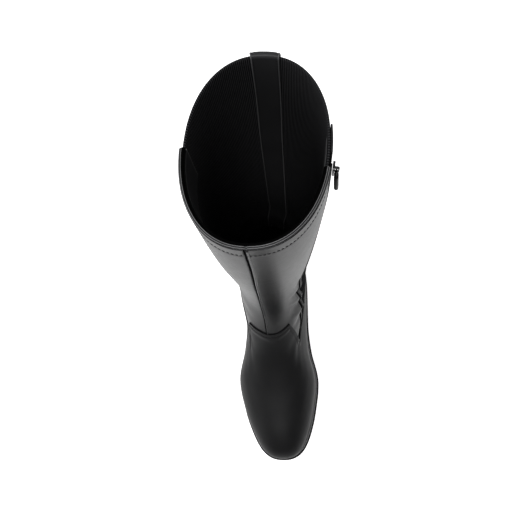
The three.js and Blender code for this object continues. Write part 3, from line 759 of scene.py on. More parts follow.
black_thread = thread("black_thread", (0.006, 0.006, 0.007), (0.016, 0.016, 0.017))
print("finishes", len(bpy.data.materials))

# %% [markdown]
# ## Edges of the patterns
# The foot part is cut with a wave: low over the instep, a peak on either side of it, a notch over the arch and
# an easy line round the heel. Each stretch between two corners is a smooth curve of its own, because one curve
# through all of them would round the corners off.

# %% Edge between foot and leg
inner_curves = [
    table("angle ring", [[0, 7.6], [60, 6.2], [83.5, 5.1], [92, 5.3], [101, 5.5]]),
    table("angle ring", [[101, 5.5], [110, 6.5], [119, 7.5], [131, 8.5], [141, 9.15]]),
    table("angle ring", [[141, 9.15], [150, 9.08], [165.5, 8.96], [180, 8.9]]),
]
outer_curves = [
    table("angle ring", [[0, 7.6], [60, 8], [83.5, 8.1], [92, 8], [101, 7.7], [110, 7], [119, 6.1]]),
    table("angle ring", [[119, 6.1], [131, 7.4], [141, 8.4]]),
    table("angle ring", [[141, 8.4], [150, 8.65], [165.5, 8.88], [180, 8.9]]),
]
SEAM_EDGE = 179.3
SEAM_GAP_EDGE = 177.9
LAP = 0.12
TUCK = 0.2


def vamp_edge(angle):
    """Level of the foot part's upper edge."""
    angle = (numpy.asarray(angle, float) + 180) % 360 - 180
    level = numpy.zeros_like(angle)
    for side, curves in ((angle >= 0, inner_curves), (angle < 0, outer_curves)):
        away = numpy.abs(angle)
        for curve in curves:
            inside = side & (away >= curve["angle"][0]) & (away <= curve["angle"][-1])
            level = numpy.where(inside, smooth_read(curve, "angle", "ring", away), level)
    return level


def two_part(share, split, low, knee, high):
    """Runs from low to a knee at the split, then on to high."""
    first = low + (knee - low) * share / split
    second = knee + (high - knee) * (share - split) / (1 - split)
    return numpy.where(share < split, first, second)


print("vamp edge over the instep", form(180, vamp_edge(180)).round(1))

# %% [markdown]
# ## Stretch back and lining
# The back half of the leg is a ribbed stretch textile, and it lines the whole boot. It is one hollow wall, so
# that it can be looked into. Its upper centimetre is folded over as a hem behind the leather.

# %% Stretch textile
HEM = 10
HEM_RISE = 0.35
shell_across = evenly(280)
shell_along = edged(150, 520, 1)


def shell_face(u, v):
    """The whole ring, from the sole to the collar."""
    return u * 360 - 180, v * COLLAR


def hem_rise(u, v):
    """Thickness of the hem over the leg's back."""
    angle, level = shell_face(u, v)
    height = form(angle, level)[..., 2]
    return HEM_RISE * smooth_step(height, BOOT_HEIGHT - HEM - 1, BOOT_HEIGHT - HEM + 0.4)


textile = sheet(
    "leg_textile", shell_across, shell_along, shell_face,
    lambda u, v: -WALL - hem_rise(u, v) * 0.5, lambda u, v: 0.0 * u, (600, 520), 1, around=True,
)
stretch_textile.on(textile)
textile.data.materials.append(lining_leather.material)
LINING_TOP = 0.118
for polygon in textile.data.polygons:
    polygon.material_index = int(polygon.center.z < LINING_TOP)
dress(textile, "upper")

# %% [markdown]
# ## Foot part
# The leather of the foot is pulled over the last in one piece, so it has no seam on the toe. Where it laps over
# the leg it is pared thin and stands on the leg's leather, with a stitched line just below the edge.

# %% Foot part
EDGE_BAND = 0.75
LAP_RISE = 1.45
LAP_LEATHER = 1.2
VAMP_SPLIT = 0.72
TEXTILE_START = (-96, -90)
TEXTILE_END = (72, 76)
LAP_START = 0.6
LAP_FULL = 0.3
STITCH_BELOW = 0.2
STITCH_WIDTH = 0.035
VAMP_GROOVE = 0.25


def vamp_face(u, v):
    """The whole ring, from the feather line to the waved edge."""
    angle = u * 360 - 180
    edge = vamp_edge(angle)
    return angle, two_part(v, VAMP_SPLIT, 0, edge - EDGE_BAND, edge)


def over_textile(angle):
    """1 round the back, where the edge lies on the textile, and 0 where it laps over leather."""
    return smooth_step(angle, *TEXTILE_START) * (1 - smooth_step(angle, *TEXTILE_END))


def lap_share(u, v):
    """Where the foot part stands on the leg's leather."""
    angle, level = vamp_face(u, v)
    below = vamp_edge(angle) - level
    return (1 - smooth_step(below, LAP_FULL, LAP_START)) * (1 - over_textile(angle))


def stitch_groove(level, edge, below, depth):
    """Groove along a stitched line, so many levels below an edge."""
    return depth * numpy.exp(-(((edge - level - below) / STITCH_WIDTH) ** 2))


def vamp_inner(u, v):
    """Inner face of the foot part."""
    return FIT + LAP_RISE * lap_share(u, v)


def vamp_outer(u, v):
    """Outer face of the foot part, with its stitch groove."""
    angle, level = vamp_face(u, v)
    flat = blend(FIT + VAMP_LEATHER, FIT + LAP_RISE + LAP_LEATHER, lap_share(u, v))
    return flat - stitch_groove(level, vamp_edge(angle), STITCH_BELOW, VAMP_GROOVE)


vamp_along = numpy.unique(numpy.concatenate([edged(56, 110, 0.8), numpy.linspace(0.86, 0.98, 22)]))
vamp = sheet(
    "foot_leather", evenly(320), vamp_along, vamp_face, vamp_inner, vamp_outer, (600, 110), 0.8, around=True,
)
vamp_leather.on(vamp)
dress(vamp, "vamp")

# %% [markdown]
# ## Leg leather
# Two front panels meet at the middle seam, and a narrow strip stands behind the zip. Their lower ends go under
# the foot part and their upper ends under the collar's piping, where a line of stitches holds the facing.

# %% Front panels and the strip behind the zip
COLLAR_BAND = 0.35
PANEL_SPLIT = 0.86
COLLAR_STITCH = 0.24
COLLAR_GROOVE = 0.3


def panel_face(first, last):
    """Face of a panel between two angles."""
    def face(u, v):
        angle = blend(first, last, u)
        return angle, two_part(v, PANEL_SPLIT, vamp_edge(angle) - TUCK, COLLAR - COLLAR_BAND, COLLAR)
    return face


def panel_outer(face):
    """Outer face of a panel, with the groove of the collar's stitches."""
    def outer(u, v):
        level = face(u, v)[1]
        return FIT + PANEL_LEATHER - stitch_groove(level, COLLAR, COLLAR_STITCH, COLLAR_GROOVE)
    return outer


panel_finishes = {"zip_strip": strip_leather}
panel_along = numpy.unique(numpy.concatenate([edged(190, 300, 0.65), numpy.linspace(0.88, 0.92, 14)]))
panels = {
    "front_panel_inner": (ZIP_FRONT, SEAM_EDGE, 92, 74),
    "front_panel_outer": (-SEAM_GAP_EDGE, -ZIP_BACK, 104, 84),
    "zip_strip": (STRIP_BACK, ZIP_BACK, 20, 20),
}
for node, (first, last, width, columns) in panels.items():
    face = panel_face(first, last)
    outer = panel_outer(face)
    panel = sheet(
        node + "_leather", edged(columns, width, 0.65), panel_along, face,
        level_sheet(FIT), outer, (width, 300), 0.65,
    )
    panel_finishes.get(node, panel_leather).on(panel)
    dress(panel, node)

# %% [markdown]
# ## Facing and zip guard
# Inside the collar a band of smooth leather backs the front panels, and a narrow flap keeps the zip off the
# leg. Both lie on the textile. They are cut from the same face, a little further in.

# %% Linings inside the collar
LINING_OUT = -WALL - FIT


def facing_face(u, v):
    """Band below the collar, round the front of the leg."""
    angle = blend(FACING_START, FACING_END, u)
    low = level_at(180, BOOT_HEIGHT - FACING_DEPTH)
    return angle, blend(low, COLLAR, v)


def guard_face(u, v):
    """Flap down the whole zip."""
    angle = blend(GUARD_BACK, ZIP_FRONT, u)
    return angle, blend(vamp_edge(angle) + LAP, COLLAR, v)


linings = {
    "facing": (facing_face, 190, FACING_DEPTH, 120, 34),
    "zip_guard": (guard_face, 16, 320, 14, 170),
}
lining_finishes = {"facing": facing_leather, "zip_guard": guard_leather}
for node, (face, width, length, columns, rows) in linings.items():
    lining = sheet(
        node + "_leather", edged(columns, width, 0.5), edged(rows, length, 0.5), face,
        level_sheet(LINING_OUT - LINING_LEATHER), level_sheet(LINING_OUT), (width, length), 0.5,
    )
    lining_finishes[node].on(lining)
    dress(lining, node)

# %% [markdown]
# ## Piping
# A cord is wrapped in leather and sewn into the middle seam, and a wider one is turned over the collar's edge.
# A piping is a tube whose section is not round: here rings of a grid are wrapped round a path on the face. The
# collar's has a shallow groove along its top, where the outer and the inner leather meet.

# %% Tubes on the face
TUBE_CHART = 0.01


def tube(name, along, turns, ring_at, caps=True):
    """A closed tube: ring_at gives points in millimetres for shares along it and turns round it."""
    mesh = bmesh.new()

    def place(u, v):
        points = ring_at(v, u * math.tau)
        return points, numpy.stack([u * TUBE_CHART, v], axis=-1)
    placed_grid(mesh, evenly(turns), along, place, False)
    bmesh.ops.remove_doubles(mesh, verts=mesh.verts, dist=0.00002)
    if caps:
        rims = [edge for edge in mesh.edges if edge.is_boundary]
        bmesh.ops.holes_fill(mesh, edges=rims, sides=0)
    bmesh.ops.recalc_face_normals(mesh, faces=mesh.faces)
    piece = finish_mesh(mesh, name)
    print(name, len(piece.data.polygons), "faces")
    return piece


def capped(share, ends):
    """Width left near a tube's rounded ends."""
    near = numpy.clip(numpy.minimum(share, 1 - share) / ends, 0, 1)
    return numpy.maximum(numpy.sqrt(numpy.maximum(1 - (1 - near) ** 2, 0)), 0.05)


# %% Piping of the middle seam
SEAM_WIDTH = 2
SEAM_SHIFT = 0.3
SEAM_RISE = 0.8
seam_low = float(vamp_edge(180)) - TUCK


def seam_ring(share, turn):
    """Half-round cord in the middle front seam, closer to the inner panel."""
    level = blend(seam_low, COLLAR, share)
    around = unit(form(180 + ANGLE_STEP, level) - form(180 - ANGLE_STEP, level))
    wide = SEAM_WIDTH / 2 * numpy.cos(turn) - SEAM_SHIFT
    crown = numpy.maximum(numpy.sin(turn), 0) ** 0.8 * (PANEL_LEATHER + SEAM_RISE)
    return skin(180, level, FIT + crown) + around * wide[..., None]


seam = tube("seam_cord", numpy.linspace(0, 1, 190), 14, seam_ring)
piping_leather.on(seam)
dress(seam, "seam_piping")

# %% Piping of the collar
PIPING_WIDTH = 4.6
PIPING_HEIGHT = 3.6
PIPING_NOTCH = 1.3
ROLL_PLACES = (1.75, 0.5)
ROLL_WIDTH = 0.36
ROLL_RISE = 1.0
PIPING_FALL = 2.6


def collar_ring(share, turn):
    """Two rolled edges over the collar's leather, nicked at the middle seam and falling to the inside."""
    angle = blend(ZIP_FRONT, 360 - ZIP_BACK, share)
    left = capped(share, 0.008)
    middle = (PANEL_LEATHER - WALL - LINING_LEATHER) / 2
    across = numpy.cos(turn) * PIPING_WIDTH / 2 * left
    rise = (1 + numpy.sin(turn) * left) * PIPING_HEIGHT / 2 - ROLL_RISE
    top = smooth_step(numpy.sin(turn), 0, 0.5)
    rolls = sum(numpy.exp(-(((across - place) / ROLL_WIDTH) ** 2)) for place in ROLL_PLACES) * ROLL_RISE
    fall = PIPING_FALL * smooth_step(-across, -0.3, 1.4)
    notch = PIPING_NOTCH * numpy.exp(-(((angle - 180) / 0.9) ** 2))
    points = skin(angle, COLLAR, middle + across)
    points[..., 2] += FIT + numpy.maximum(rise + ROLL_RISE * (1 - top) + top * (rolls - fall - notch), 0)
    return points


piping = tube("collar_bead", evenly(300), 56, collar_ring)
piping_leather.on(piping)
piping.data.materials.append(painted_shade_flank.material)
piping.data.materials.append(painted_highlight_leather.material)
# Faces on top of the piping's two rolls get a painted highlight.
piping_chart = piping.data.uv_layers.active.data
# Faces of the piping's inner flank get a painted shade, nearly black.
for polygon in piping.data.polygons:
    turns_round = [piping_chart[corner].uv.x / TUBE_CHART * math.tau for corner in polygon.loop_indices]
    across = sum(math.cos(turn) for turn in turns_round) / len(turns_round) * PIPING_WIDTH / 2
    upper_side = sum(math.sin(turn) for turn in turns_round) > 0
    highlight_face = upper_side and min(abs(across - place) for place in ROLL_PLACES) < ROLL_WIDTH * 0.7
    polygon.material_index = 2 if highlight_face else int(across < min(ROLL_PLACES) - ROLL_WIDTH)
dress(piping, "collar_piping")

# %% [markdown]
# ## Back strap
# One strap climbs the outside of the back, folds over the collar and goes down the inside, where it is sewn to
# the textile. It hides the back seam of the textile and is also what the wearer pulls on.

# %% Back strap
STRAP_INNER_END = 7.77
STRAP_OUTER_END = 8.35
STRAP_OUT_SHARE = 0.49
STRAP_IN_SHARE = 0.51
fold_under = WALL / 2 + STRAP_FIT


def strap_line(share):
    """Level, offset from the face's middle and lift along the strap's inner side."""
    up = numpy.clip(share / STRAP_OUT_SHARE, 0, 1)
    down = numpy.clip((share - STRAP_IN_SHARE) / (1 - STRAP_IN_SHARE), 0, 1)
    turn = numpy.clip((share - STRAP_OUT_SHARE) / (STRAP_IN_SHARE - STRAP_OUT_SHARE), 0, 1) * math.pi
    level = numpy.where(
        share < 0.5,
        blend(STRAP_OUTER_END, COLLAR, up),
        blend(COLLAR, STRAP_INNER_END, down),
    )
    return level, turn


def strap_points(u, v, radius):
    """Points of the strap so far from the middle of the textile."""
    level, turn = strap_line(v)
    reach = numpy.hypot(*(form(6, level) - form(0, level))[..., :2].T) if numpy.ndim(level) else 1
    angle = (u - 0.5) * STRAP_WIDTH / (reach / 6)
    offset = radius * numpy.cos(turn) - WALL / 2
    points = skin(angle, level, offset)
    points[..., 2] += radius * numpy.sin(turn)
    return points


strap_across = edged(16, STRAP_WIDTH, 0.65)
strap_fold = numpy.linspace(0.485, 0.515, 26)
strap_along = numpy.unique(numpy.concatenate([edged(200, STRAP_LENGTH, 0.65), strap_fold]))
strap_mesh = bmesh.new()
STRAP_SEAM = 1.9
for side, turned in ((1, True), (-1, False)):
    def strap_side(u, v, side=side):
        left = rounding(u, STRAP_WIDTH, 0.65) * rounding(v, STRAP_LENGTH, 0.65)
        middle = fold_under + STRAP_LEATHER / 2
        beside = numpy.minimum(u, 1 - u) * STRAP_WIDTH
        groove = 0.22 * numpy.exp(-(((beside - STRAP_SEAM) / 0.5) ** 2)) * (side > 0)
        points = strap_points(u, v, middle + side * STRAP_LEATHER / 2 * left - groove)
        return points, numpy.stack([u * STRAP_WIDTH * MM, v * STRAP_LENGTH * MM], axis=-1)
    placed_grid(strap_mesh, strap_across, strap_along, strap_side, turned)
strap = finish_mesh(strap_mesh, "back_strap_leather")
print("back strap", len(strap.data.polygons), "faces")
strap_leather.on(strap)
dress(strap, "back_strap")

# %% [markdown]
# ## Zip
# The closed zip is a woven tape with two rows of teeth that mesh along its middle. A few hundred teeth are
# joined in one mesh; each is a small bevelled block, because nobody sees more of it than its glint.

# %% Zip tape and teeth
TAPE_WIDTH = 6.4
TAPE_THICKNESS = 0.6
ZIP_FIT = 0.75
ZIP_RISE = 0.3
TOOTH_PITCH = 1.5
TOOTH_LENGTH = 2.5
TOOTH_WIDTH = 0.95


def zip_level(share):
    """Level along the zip, from over the foot part's edge to the collar."""
    low = float(vamp_edge(ZIP_MIDDLE)) + LAP + ZIP_RISE
    return blend(low, COLLAR, share)


def zip_face(u, v):
    """Face of the tape, a few millimetres either side of its middle line."""
    level = zip_level(v)
    wide = numpy.linalg.norm(form(ZIP_MIDDLE + 3, level) - form(ZIP_MIDDLE - 3, level), axis=-1) / 6
    return ZIP_MIDDLE + (u - 0.5) * TAPE_WIDTH / wide, level


tape = sheet(
    "zip_tape", edged(6, TAPE_WIDTH, 0.3), edged(190, 320, 0.3), zip_face,
    level_sheet(ZIP_FIT), level_sheet(ZIP_FIT + TAPE_THICKNESS), (TAPE_WIDTH, 320), 0.3,
)
tape_textile.on(tape)
dress(tape, "zip")


def path_points(angles, levels, offset, pitch):
    """Evenly spaced points, directions and outward normals along a line on the face."""
    fine = skin(angles, levels, offset)
    out = outwards(angles, levels)
    steps = numpy.linalg.norm(numpy.diff(fine, axis=0), axis=1)
    run = numpy.concatenate([[0], numpy.cumsum(steps)])
    places = numpy.arange(pitch / 2, run[-1], pitch)
    points = numpy.stack([numpy.interp(places, run, fine[:, axis]) for axis in range(3)], axis=-1)
    ahead = numpy.stack([numpy.interp(places + 0.1, run, fine[:, axis]) for axis in range(3)], axis=-1)
    behind = numpy.stack([numpy.interp(places - 0.1, run, fine[:, axis]) for axis in range(3)], axis=-1)
    normals = numpy.stack([numpy.interp(places, run, out[:, axis]) for axis in range(3)], axis=-1)
    return points, unit(ahead - behind), unit(normals)


def frame_at(point, ahead, out, size):
    """Matrix that puts a unit shape at a point: x ahead, z outwards."""
    ahead = Vector(ahead)
    side = Vector(out).cross(ahead).normalized()
    up = ahead.cross(side)
    turn = Matrix((ahead, side, up)).transposed().to_4x4()
    return Matrix.Translation(Vector(point) * MM) @ turn @ Matrix.Diagonal((*[s * MM for s in size], 1))


teeth_mesh = bmesh.new()
samples = numpy.linspace(0.002, 0.985, 400)
spots, ahead, out = path_points(
    numpy.full(400, ZIP_MIDDLE), zip_level(samples), ZIP_FIT + TAPE_THICKNESS + 0.45, TOOTH_PITCH / 2,
)
for number, (spot, way, normal) in enumerate(zip(spots, ahead, out)):
    side = 1 if number % 2 else -1
    sideways = numpy.cross(normal, way)
    centre = spot + sideways * side * 0.75
    bmesh.ops.create_cube(teeth_mesh, size=1, matrix=frame_at(
        centre, way, normal, (TOOTH_WIDTH, TOOTH_LENGTH, 0.95),
    ))
bmesh.ops.bevel(
    teeth_mesh, geom=list(teeth_mesh.edges), offset=0.00018, offset_type="OFFSET", segments=1,
    profile=0.5, affect="EDGES", material=-1,
)
teeth = finish_mesh(teeth_mesh, "zip_teeth", 0.000001)
teeth.data.polygons.foreach_set("use_smooth", [False] * len(teeth.data.polygons))
rubber("tooth_plastic", (0.012, 0.012, 0.013), (0.03, 0.03, 0.032), 0.35).on(teeth)
dress(teeth)
print("zip teeth", len(spots))

# %% [markdown]
# ## Slider and pull tab
# These are hard and nearly right in the solids: only their edges are too sharp. A copy of the solid's mesh is
# welded, its flat faces are joined, and every edge gets a small bevel that catches the light.

# %% Softened copies of the hard solids


def softened(node, name, width, segments=2):
    """Copy of a solid with its flat faces joined and its edges bevelled."""
    mesh = bmesh.new()
    mesh.from_mesh(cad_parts[node].data)
    bmesh.ops.remove_doubles(mesh, verts=mesh.verts, dist=0.000005)
    bmesh.ops.dissolve_limit(mesh, angle_limit=math.radians(2), verts=mesh.verts, edges=mesh.edges)
    sharp = [edge for edge in mesh.edges if edge.is_manifold and edge.calc_face_angle(0) > math.radians(25)]
    bmesh.ops.bevel(
        mesh, geom=sharp, offset=width * MM, offset_type="OFFSET", segments=segments, profile=0.5,
        affect="EDGES", clamp_overlap=True, material=-1,
    )
    data = bpy.data.meshes.new(name)
    mesh.to_mesh(data)
    mesh.free()
    data.polygons.foreach_set("use_smooth", [True] * len(data.polygons))
    data.set_sharp_from_angle(angle=math.radians(40))
    piece = bpy.data.objects.new(name, data)
    scene.collection.objects.link(piece)
    print(name, len(data.polygons), "faces")
    return piece


slider = softened("zip_slider", "slider_plated", 0.22)
bright_metal.on(slider)
dress(slider, "zip_slider")
pull = softened("zip_pull", "pull_tab", 0.25)
dark_metal.on(pull)
dress(pull, "zip_pull", "pull")

# %% [markdown]
# ## Sole unit
# Outsole, welt and insole follow the feather line at their own distance from it. Each is a grid that runs round
# the boot and, across, along its section; the last rows draw in to a line down the middle and close it.

# %% Outsole, welt and insole


def sole_piece(name, section, columns=320):
    """A closed sole layer: rows of distance from the feather line, height function and share drawn in."""
    angles = evenly(columns) * 360 - 180
    loops = []
    for offset, height_at, drawn in section:
        loop = form(angles, 0) + outwards(angles, 0) * offset
        loop[..., 2] = height_at(ORIGIN_PLACE - form(angles, 0)[..., 1])
        spine = (loop + loop[::-1]) / 2
        loops.append(blend(loop, spine, drawn))
    loops = numpy.array(loops)
    mesh = bmesh.new()

    def place(u, v):
        row = numpy.rint(v * (len(section) - 1)).astype(int)
        column = numpy.rint(u * columns).astype(int)
        points = loops[row, column]
        return points, points[..., :2] * MM
    placed_grid(mesh, evenly(columns), evenly(len(section) - 1), place, False)
    bmesh.ops.remove_doubles(mesh, verts=mesh.verts, dist=0.00001)
    bmesh.ops.recalc_face_normals(mesh, faces=mesh.faces)
    piece = finish_mesh(mesh, name, 0.00001)
    print(name, len(piece.data.polygons), "faces")
    return piece


def at_share(low, high, share):
    """Height function between two others."""
    return lambda along: blend(low(along), high(along), share)


DRAWN = (1, 0.85, 0.6, 0.35, 0.15)
UNDER_EDGE = 1
outsole_side = table("up inset", [
    [0, 1.1],
    [0.04, 0.55],
    [0.12, 0.15],
    [0.2, 0],
    [0.4, 0],
    [0.45, 0.2],
    [0.48, 0.8],
    [0.6, 0.8],
    [0.64, 0.2],
    [0.7, 0],
    [0.92, 0],
    [0.98, 0.15],
    [1, 0.5],
])
outsole_section = [(FEATHER_INSET - 1.3, sole_under, drawn) for drawn in DRAWN]
for up, inset in zip(outsole_side["up"], outsole_side["inset"]):
    outsole_section.append((FEATHER_INSET - inset, at_share(sole_under, outsole_top, up), 0))
outsole_section += [(FEATHER_INSET - 1.2, outsole_top, drawn) for drawn in reversed(DRAWN)]
outsole = sole_piece("outsole_rubber", outsole_section)
sole_rubber.on(outsole)
dress(outsole, "outsole")


def welt_low(along):
    """Lower face of the welt."""
    return outsole_top(along) + FIT


WELT_OUT = FEATHER_INSET - 0.6
WELT_IN = -WALL - WELT_SEAT
welt_side = table("up inset", [
    [0, 0.4],
    [0.1, 0.08],
    [0.25, 0],
    [0.5, 0],
    [0.75, 0.1],
    [0.9, 0.4],
    [1, 1.0],
    [1.35, 1.25],
    [1.45, 1.6],
    [1.35, 1.95],
    [1, 2.2],
])
welt_section = [(WELT_IN, welt_low, 0)]
for up, inset in zip(welt_side["up"], welt_side["inset"]):
    welt_section.append((WELT_OUT - inset, at_share(welt_low, welt_top, up), 0))
welt_section += [(WELT_IN, welt_top, 0), (WELT_IN, welt_low, 0)]
welt = sole_piece("welt_edge", welt_section)
welt_rubber.on(welt)
# Faces of the welt's top bead get a painted highlight.
welt.data.materials.append(painted_highlight_leather.material)
WELT_HIGHLIGHT_START = 0.12
for polygon in welt.data.polygons:
    highlight_low = welt_top(ORIGIN_PLACE - polygon.center.y / MM) + WELT_HIGHLIGHT_START
    polygon.material_index = int(polygon.center.z / MM > highlight_low)
dress(welt, "welt")


def bed_seat(along):
    """Underside of the footbed."""
    return welt_top(along) + FIT


def bed_top(along):
    """Upper face of the footbed."""
    return bed_seat(along) + INSOLE


CORE_OUT = WELT_IN - FIT
BED_OUT = -WALL - FIT
bed_section = [(CORE_OUT, welt_low, drawn) for drawn in DRAWN]
bed_section += [(CORE_OUT, welt_low, 0), (CORE_OUT, bed_seat, 0), (BED_OUT, bed_seat, 0)]
bed_section += [(BED_OUT, at_share(bed_seat, bed_top, 0.7), 0), (BED_OUT - 0.5, bed_top, 0)]
bed_section += [(BED_OUT - 1.2, bed_top, drawn) for drawn in reversed(DRAWN)]
footbed = sole_piece("footbed", bed_section, 240)
footbed_leather.on(footbed)
dress(footbed, "insole")

# %% [markdown]
# ## Heel
# A low block heel stands under the back of the sole, with a top lift on the floor. Its outline follows the
# sole round the back and has a hollow front. An outline is extruded and its rims are bevelled.

# %% Heel block and top lift


def angle_at(reach, offset):
    """Angle of the feather line whose offset point lies so far in front of the back."""
    angles = numpy.linspace(0, 170, 1701)
    line = form(angles, 0) + outwards(angles, 0) * offset
    ahead = line[0, 1] - line[:, 1]
    return float(angles[numpy.searchsorted(ahead, reach)])


def heel_piece(name, low_shape, high_shape, bevel):
    """Heel layer between two outlines, each given by offset, length and height."""
    outlines = []
    for offset, length, height in (low_shape, high_shape):
        reach = angle_at(length, offset)
        angles = numpy.linspace(-reach, reach, 61)
        side = form(angles, 0) + outwards(angles, 0) * offset
        share = numpy.linspace(0, 1, 17)[1:-1, None]
        front = blend(side[-1], side[0], share)
        front[:, 1] += BREAST_HOLLOW * 4 * (share * (1 - share))[:, 0]
        outline = numpy.concatenate([side, front])
        outline[:, 2] = height
        outlines.append(outline)
    mesh = bmesh.new()
    circle = bmesh.ops.create_circle(mesh, cap_ends=True, segments=len(outlines[0]), radius=1)
    for corner, spot in zip(circle["verts"], outlines[0]):
        corner.co = spot * MM
    grown = bmesh.ops.extrude_face_region(mesh, geom=list(mesh.faces), use_keep_orig=True)
    for corner in (item for item in grown["geom"] if isinstance(item, bmesh.types.BMVert)):
        nearest = numpy.argmin(numpy.linalg.norm(outlines[0] * MM - numpy.array(corner.co), axis=1))
        corner.co = outlines[1][nearest] * MM
    bmesh.ops.recalc_face_normals(mesh, faces=mesh.faces)
    rims = [edge for edge in mesh.edges if edge.calc_face_angle(0) > math.radians(40)]
    bmesh.ops.bevel(
        mesh, geom=rims, offset=bevel * MM, offset_type="OFFSET", segments=2, profile=0.5,
        affect="EDGES", clamp_overlap=True, material=-1,
    )
    piece = finish_mesh(mesh, name, 0.000005)
    piece.data.set_sharp_from_angle(angle=math.radians(35))
    print(name, len(piece.data.polygons), "faces")
    return piece


HEEL_OUT = FEATHER_INSET - UNDER_EDGE
foot_shape = (HEEL_OUT - HEEL_TAPER, HEEL_LENGTH - HEEL_TAPER)
block = heel_piece(
    "heel_stack", (*foot_shape, TOP_LIFT + FIT), (HEEL_OUT, HEEL_LENGTH, HEEL_HEIGHT - FIT), 0.4,
)
heel_finish.on(block)
dress(block, "heel_block")
lift = heel_piece("lift_rubber", (*foot_shape, 0), (*foot_shape, TOP_LIFT), 0.4)
sole_rubber.on(lift)
dress(lift, "top_lift")

# %% [markdown]
# ## Stitches
# The seams are sewn with black thread, and only the strap's inner end with grey. A stitch is a small rounded
# grain, and a row of them is one mesh. The rows lie along lines on the face: below the collar, beside the foot
# part's edge, beside the zip, along both sides of the strap and round the hem of the textile.

# %% Rows of stitches
STITCH_PITCH = 3.2
STITCH_SIZE = (2.3, 0.6, 0.5)
STITCH_SUNK = 0.12
SIDE_MARGIN = 2.2
SIDE_SUNK = 0.05
COLLAR_SUNK = 0.15
STRAP_SUNK = 0.1
HEM_SEAM = 1.2


def stitch_rows(name, lines, pitch=STITCH_PITCH, size=STITCH_SIZE):
    """One mesh of stitches along lines of angles, levels and an offset."""
    mesh = bmesh.new()
    count = 0
    for angles, levels, offset in lines:
        spots, ahead, out = path_points(angles, levels, offset, pitch)
        for spot, way, normal in zip(spots, ahead, out):
            bmesh.ops.create_icosphere(
                mesh, subdivisions=1, radius=0.5, matrix=frame_at(spot, way, normal, size),
            )
            count += 1
    piece = finish_mesh(mesh, name, 0.000001)
    black_thread.on(piece)
    print(name, count, "stitches")
    return piece


LEATHER_TOP = FIT + PANEL_LEATHER
collar_angles = numpy.linspace(ZIP_FRONT + 1.5, 360 - ZIP_BACK - 1.5, 300)
collar_stitches = stitch_rows("collar_stitches", [
    (collar_angles, numpy.full(300, COLLAR - COLLAR_STITCH), LEATHER_TOP - COLLAR_SUNK),
])
dress(collar_stitches)

rim_angles = numpy.linspace(-180, 180, 1200)
rim_levels = vamp_edge(rim_angles) - STITCH_BELOW
rim_flat = blend(FIT + LAP_RISE + LAP_LEATHER, FIT + VAMP_LEATHER, over_textile(rim_angles))
rim_offset = rim_flat - STITCH_SUNK
rim_stitches = stitch_rows("foot_stitches", [(rim_angles, rim_levels, rim_offset)])
dress(rim_stitches)


def up_line(angle, margin):
    """Line up the leg beside an angle, so many millimetres away."""
    low = float(vamp_edge(angle)) + LAP
    levels = numpy.linspace(low, COLLAR - 0.05, 300)
    wide = numpy.linalg.norm(form(angle + 3, levels) - form(angle - 3, levels), axis=-1) / 6
    return angle + margin / wide, levels


side_lines = []
for angle, side in ((ZIP_FRONT, 1), (ZIP_BACK, -1), (STRIP_BACK, 1), (-ZIP_BACK, -1)):
    angles, levels = up_line(angle, side * SIDE_MARGIN)
    side_lines.append((angles, levels, LEATHER_TOP - SIDE_SUNK))
side_stitches = stitch_rows("side_stitches", side_lines)
dress(side_stitches)

# %% Stitches of the strap and the hem
STRAP_FACE = fold_under + STRAP_LEATHER - WALL / 2
strap_lines = []
for side in (-1, 1):
    margin = side * (STRAP_WIDTH / 2 - STRAP_SEAM)
    for low, offset in ((STRAP_OUTER_END, STRAP_FACE), (STRAP_INNER_END, -WALL - STRAP_FACE)):
        levels = numpy.linspace(low + 0.15, COLLAR - 0.03, 300)
        wide = numpy.linalg.norm((form(6, levels) - form(0, levels))[..., :2], axis=-1) / 6
        sunk = -STRAP_SUNK if offset > 0 else STRAP_SUNK
        strap_lines.append((margin / wide, levels, offset + sunk))
strap_stitches = stitch_rows("strap_stitches", strap_lines)
dress(strap_stitches)

end_level = STRAP_INNER_END + 0.1
end_reach = float(numpy.linalg.norm((form(6, end_level) - form(0, end_level))[:2])) / 6
end_angles = numpy.linspace(-1, 1, 60) * (STRAP_WIDTH / 2 - STRAP_SEAM) / end_reach
end_stitches = stitch_rows(
    "strap_end_stitches", [(end_angles, numpy.full(60, end_level), -WALL - STRAP_FACE + 0.05)],
)
grey_thread.on(end_stitches)
dress(end_stitches)

hem_lines = []
hem_level = float(level_at(0, BOOT_HEIGHT - HEM + HEM_SEAM))
for offset in (0.05, -WALL - 0.2):
    for low, high in ((-ZIP_BACK + 1, -12), (12, STRIP_BACK - 1)):
        angles = numpy.linspace(low, high, 200)
        hem_lines.append((angles, numpy.full(200, hem_level), offset))
hem_stitches = stitch_rows("hem_stitches", hem_lines)
dress(hem_stitches)

# %% [markdown]
# ## Floor and light
# Black leather shows what it mirrors. The leg is seen almost along its face, so it mirrors the floor beside
# it: a round pale table with a glow of its own makes the leg bright. The foot's top mirrors the room above,
# so the room is kept dim. Four wide soft lights stand left, right and on both sides behind, the left one
# strongest, and a smaller one hangs above. A gamma a little below one deepens the dark tones.

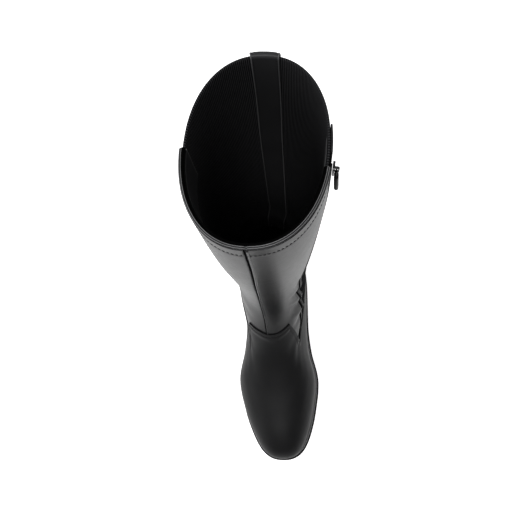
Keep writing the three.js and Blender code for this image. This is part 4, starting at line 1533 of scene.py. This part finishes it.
# %% Floor
FLOOR_GLOW = 0.72
FLOOR_DULL = (0.88, 0.88, 0.88)
FLOOR_PALE = (0.92, 0.92, 0.92)
TABLE_RADIUS = 0.66
TABLE_MIDDLE = (-0.04, 0.06, 0)
floor_mesh = bmesh.new()
bmesh.ops.create_circle(floor_mesh, cap_ends=True, segments=96, radius=TABLE_RADIUS)
bmesh.ops.translate(floor_mesh, verts=floor_mesh.verts, vec=TABLE_MIDDLE)
floor_data = bpy.data.meshes.new("floor")
floor_mesh.to_mesh(floor_data)
floor_mesh.free()
floor = bpy.data.objects.new("floor", floor_data)
scene.collection.objects.link(floor)
floor_finish = Finish("floor", FLOOR_PALE, 0.9, specular=0.1)
floor_finish.tint(floor_finish.noise(floor_finish.place(), 3), FLOOR_DULL, FLOOR_PALE)
floor_finish.shader.inputs["Emission Color"].default_value = (1, 1, 1, 1)
floor_finish.shader.inputs["Emission Strength"].default_value = FLOOR_GLOW
floor_finish.on(floor)

# %% Lights


def soft_light(name, place, aim, size, power):
    """A wide soft light that looks at a point."""
    data = bpy.data.lights.new(name, "AREA")
    data.shape = "RECTANGLE"
    data.size, data.size_y = size
    data.energy = power
    light = bpy.data.objects.new(name, data)
    light.location = place
    light.rotation_euler = (Vector(aim) - Vector(place)).to_track_quat("-Z", "Y").to_euler()
    scene.collection.objects.link(light)
    return light


lamps = {
    "left_light": ((-1.5, -0.5, 0.9), (0, -0.05, 0.2), (1.2, 1.6), 14),
    "right_light": ((1.6, -0.2, 1.1), (0, -0.05, 0.2), (1.0, 1.4), 1),
    "back_left_light": ((-1.0, 1.3, 1.4), (0, -0.1, 0.1), (1.4, 1.0), 9),
    "back_right_light": ((1.0, 1.3, 1.4), (0, -0.1, 0.1), (1.4, 1.0), 5),
    "top_light": ((0.0, -0.6, 1.7), (0, -0.05, 0.3), (0.6, 0.6), 11),
}
for name, (place, aim, size, power) in lamps.items():
    soft_light(name, place, aim, size, power)

ROOM_GLOW = 0.2
PICTURE_GAMMA = 0.82
world = bpy.data.worlds.new("surround")
world.use_nodes = True
surround = world.node_tree.nodes["Background"]
surround.inputs["Color"].default_value = (1, 1, 1, 1)
surround.inputs["Strength"].default_value = ROOM_GLOW
scene.world = world
scene.view_settings.view_transform = "Standard"
scene.view_settings.gamma = PICTURE_GAMMA
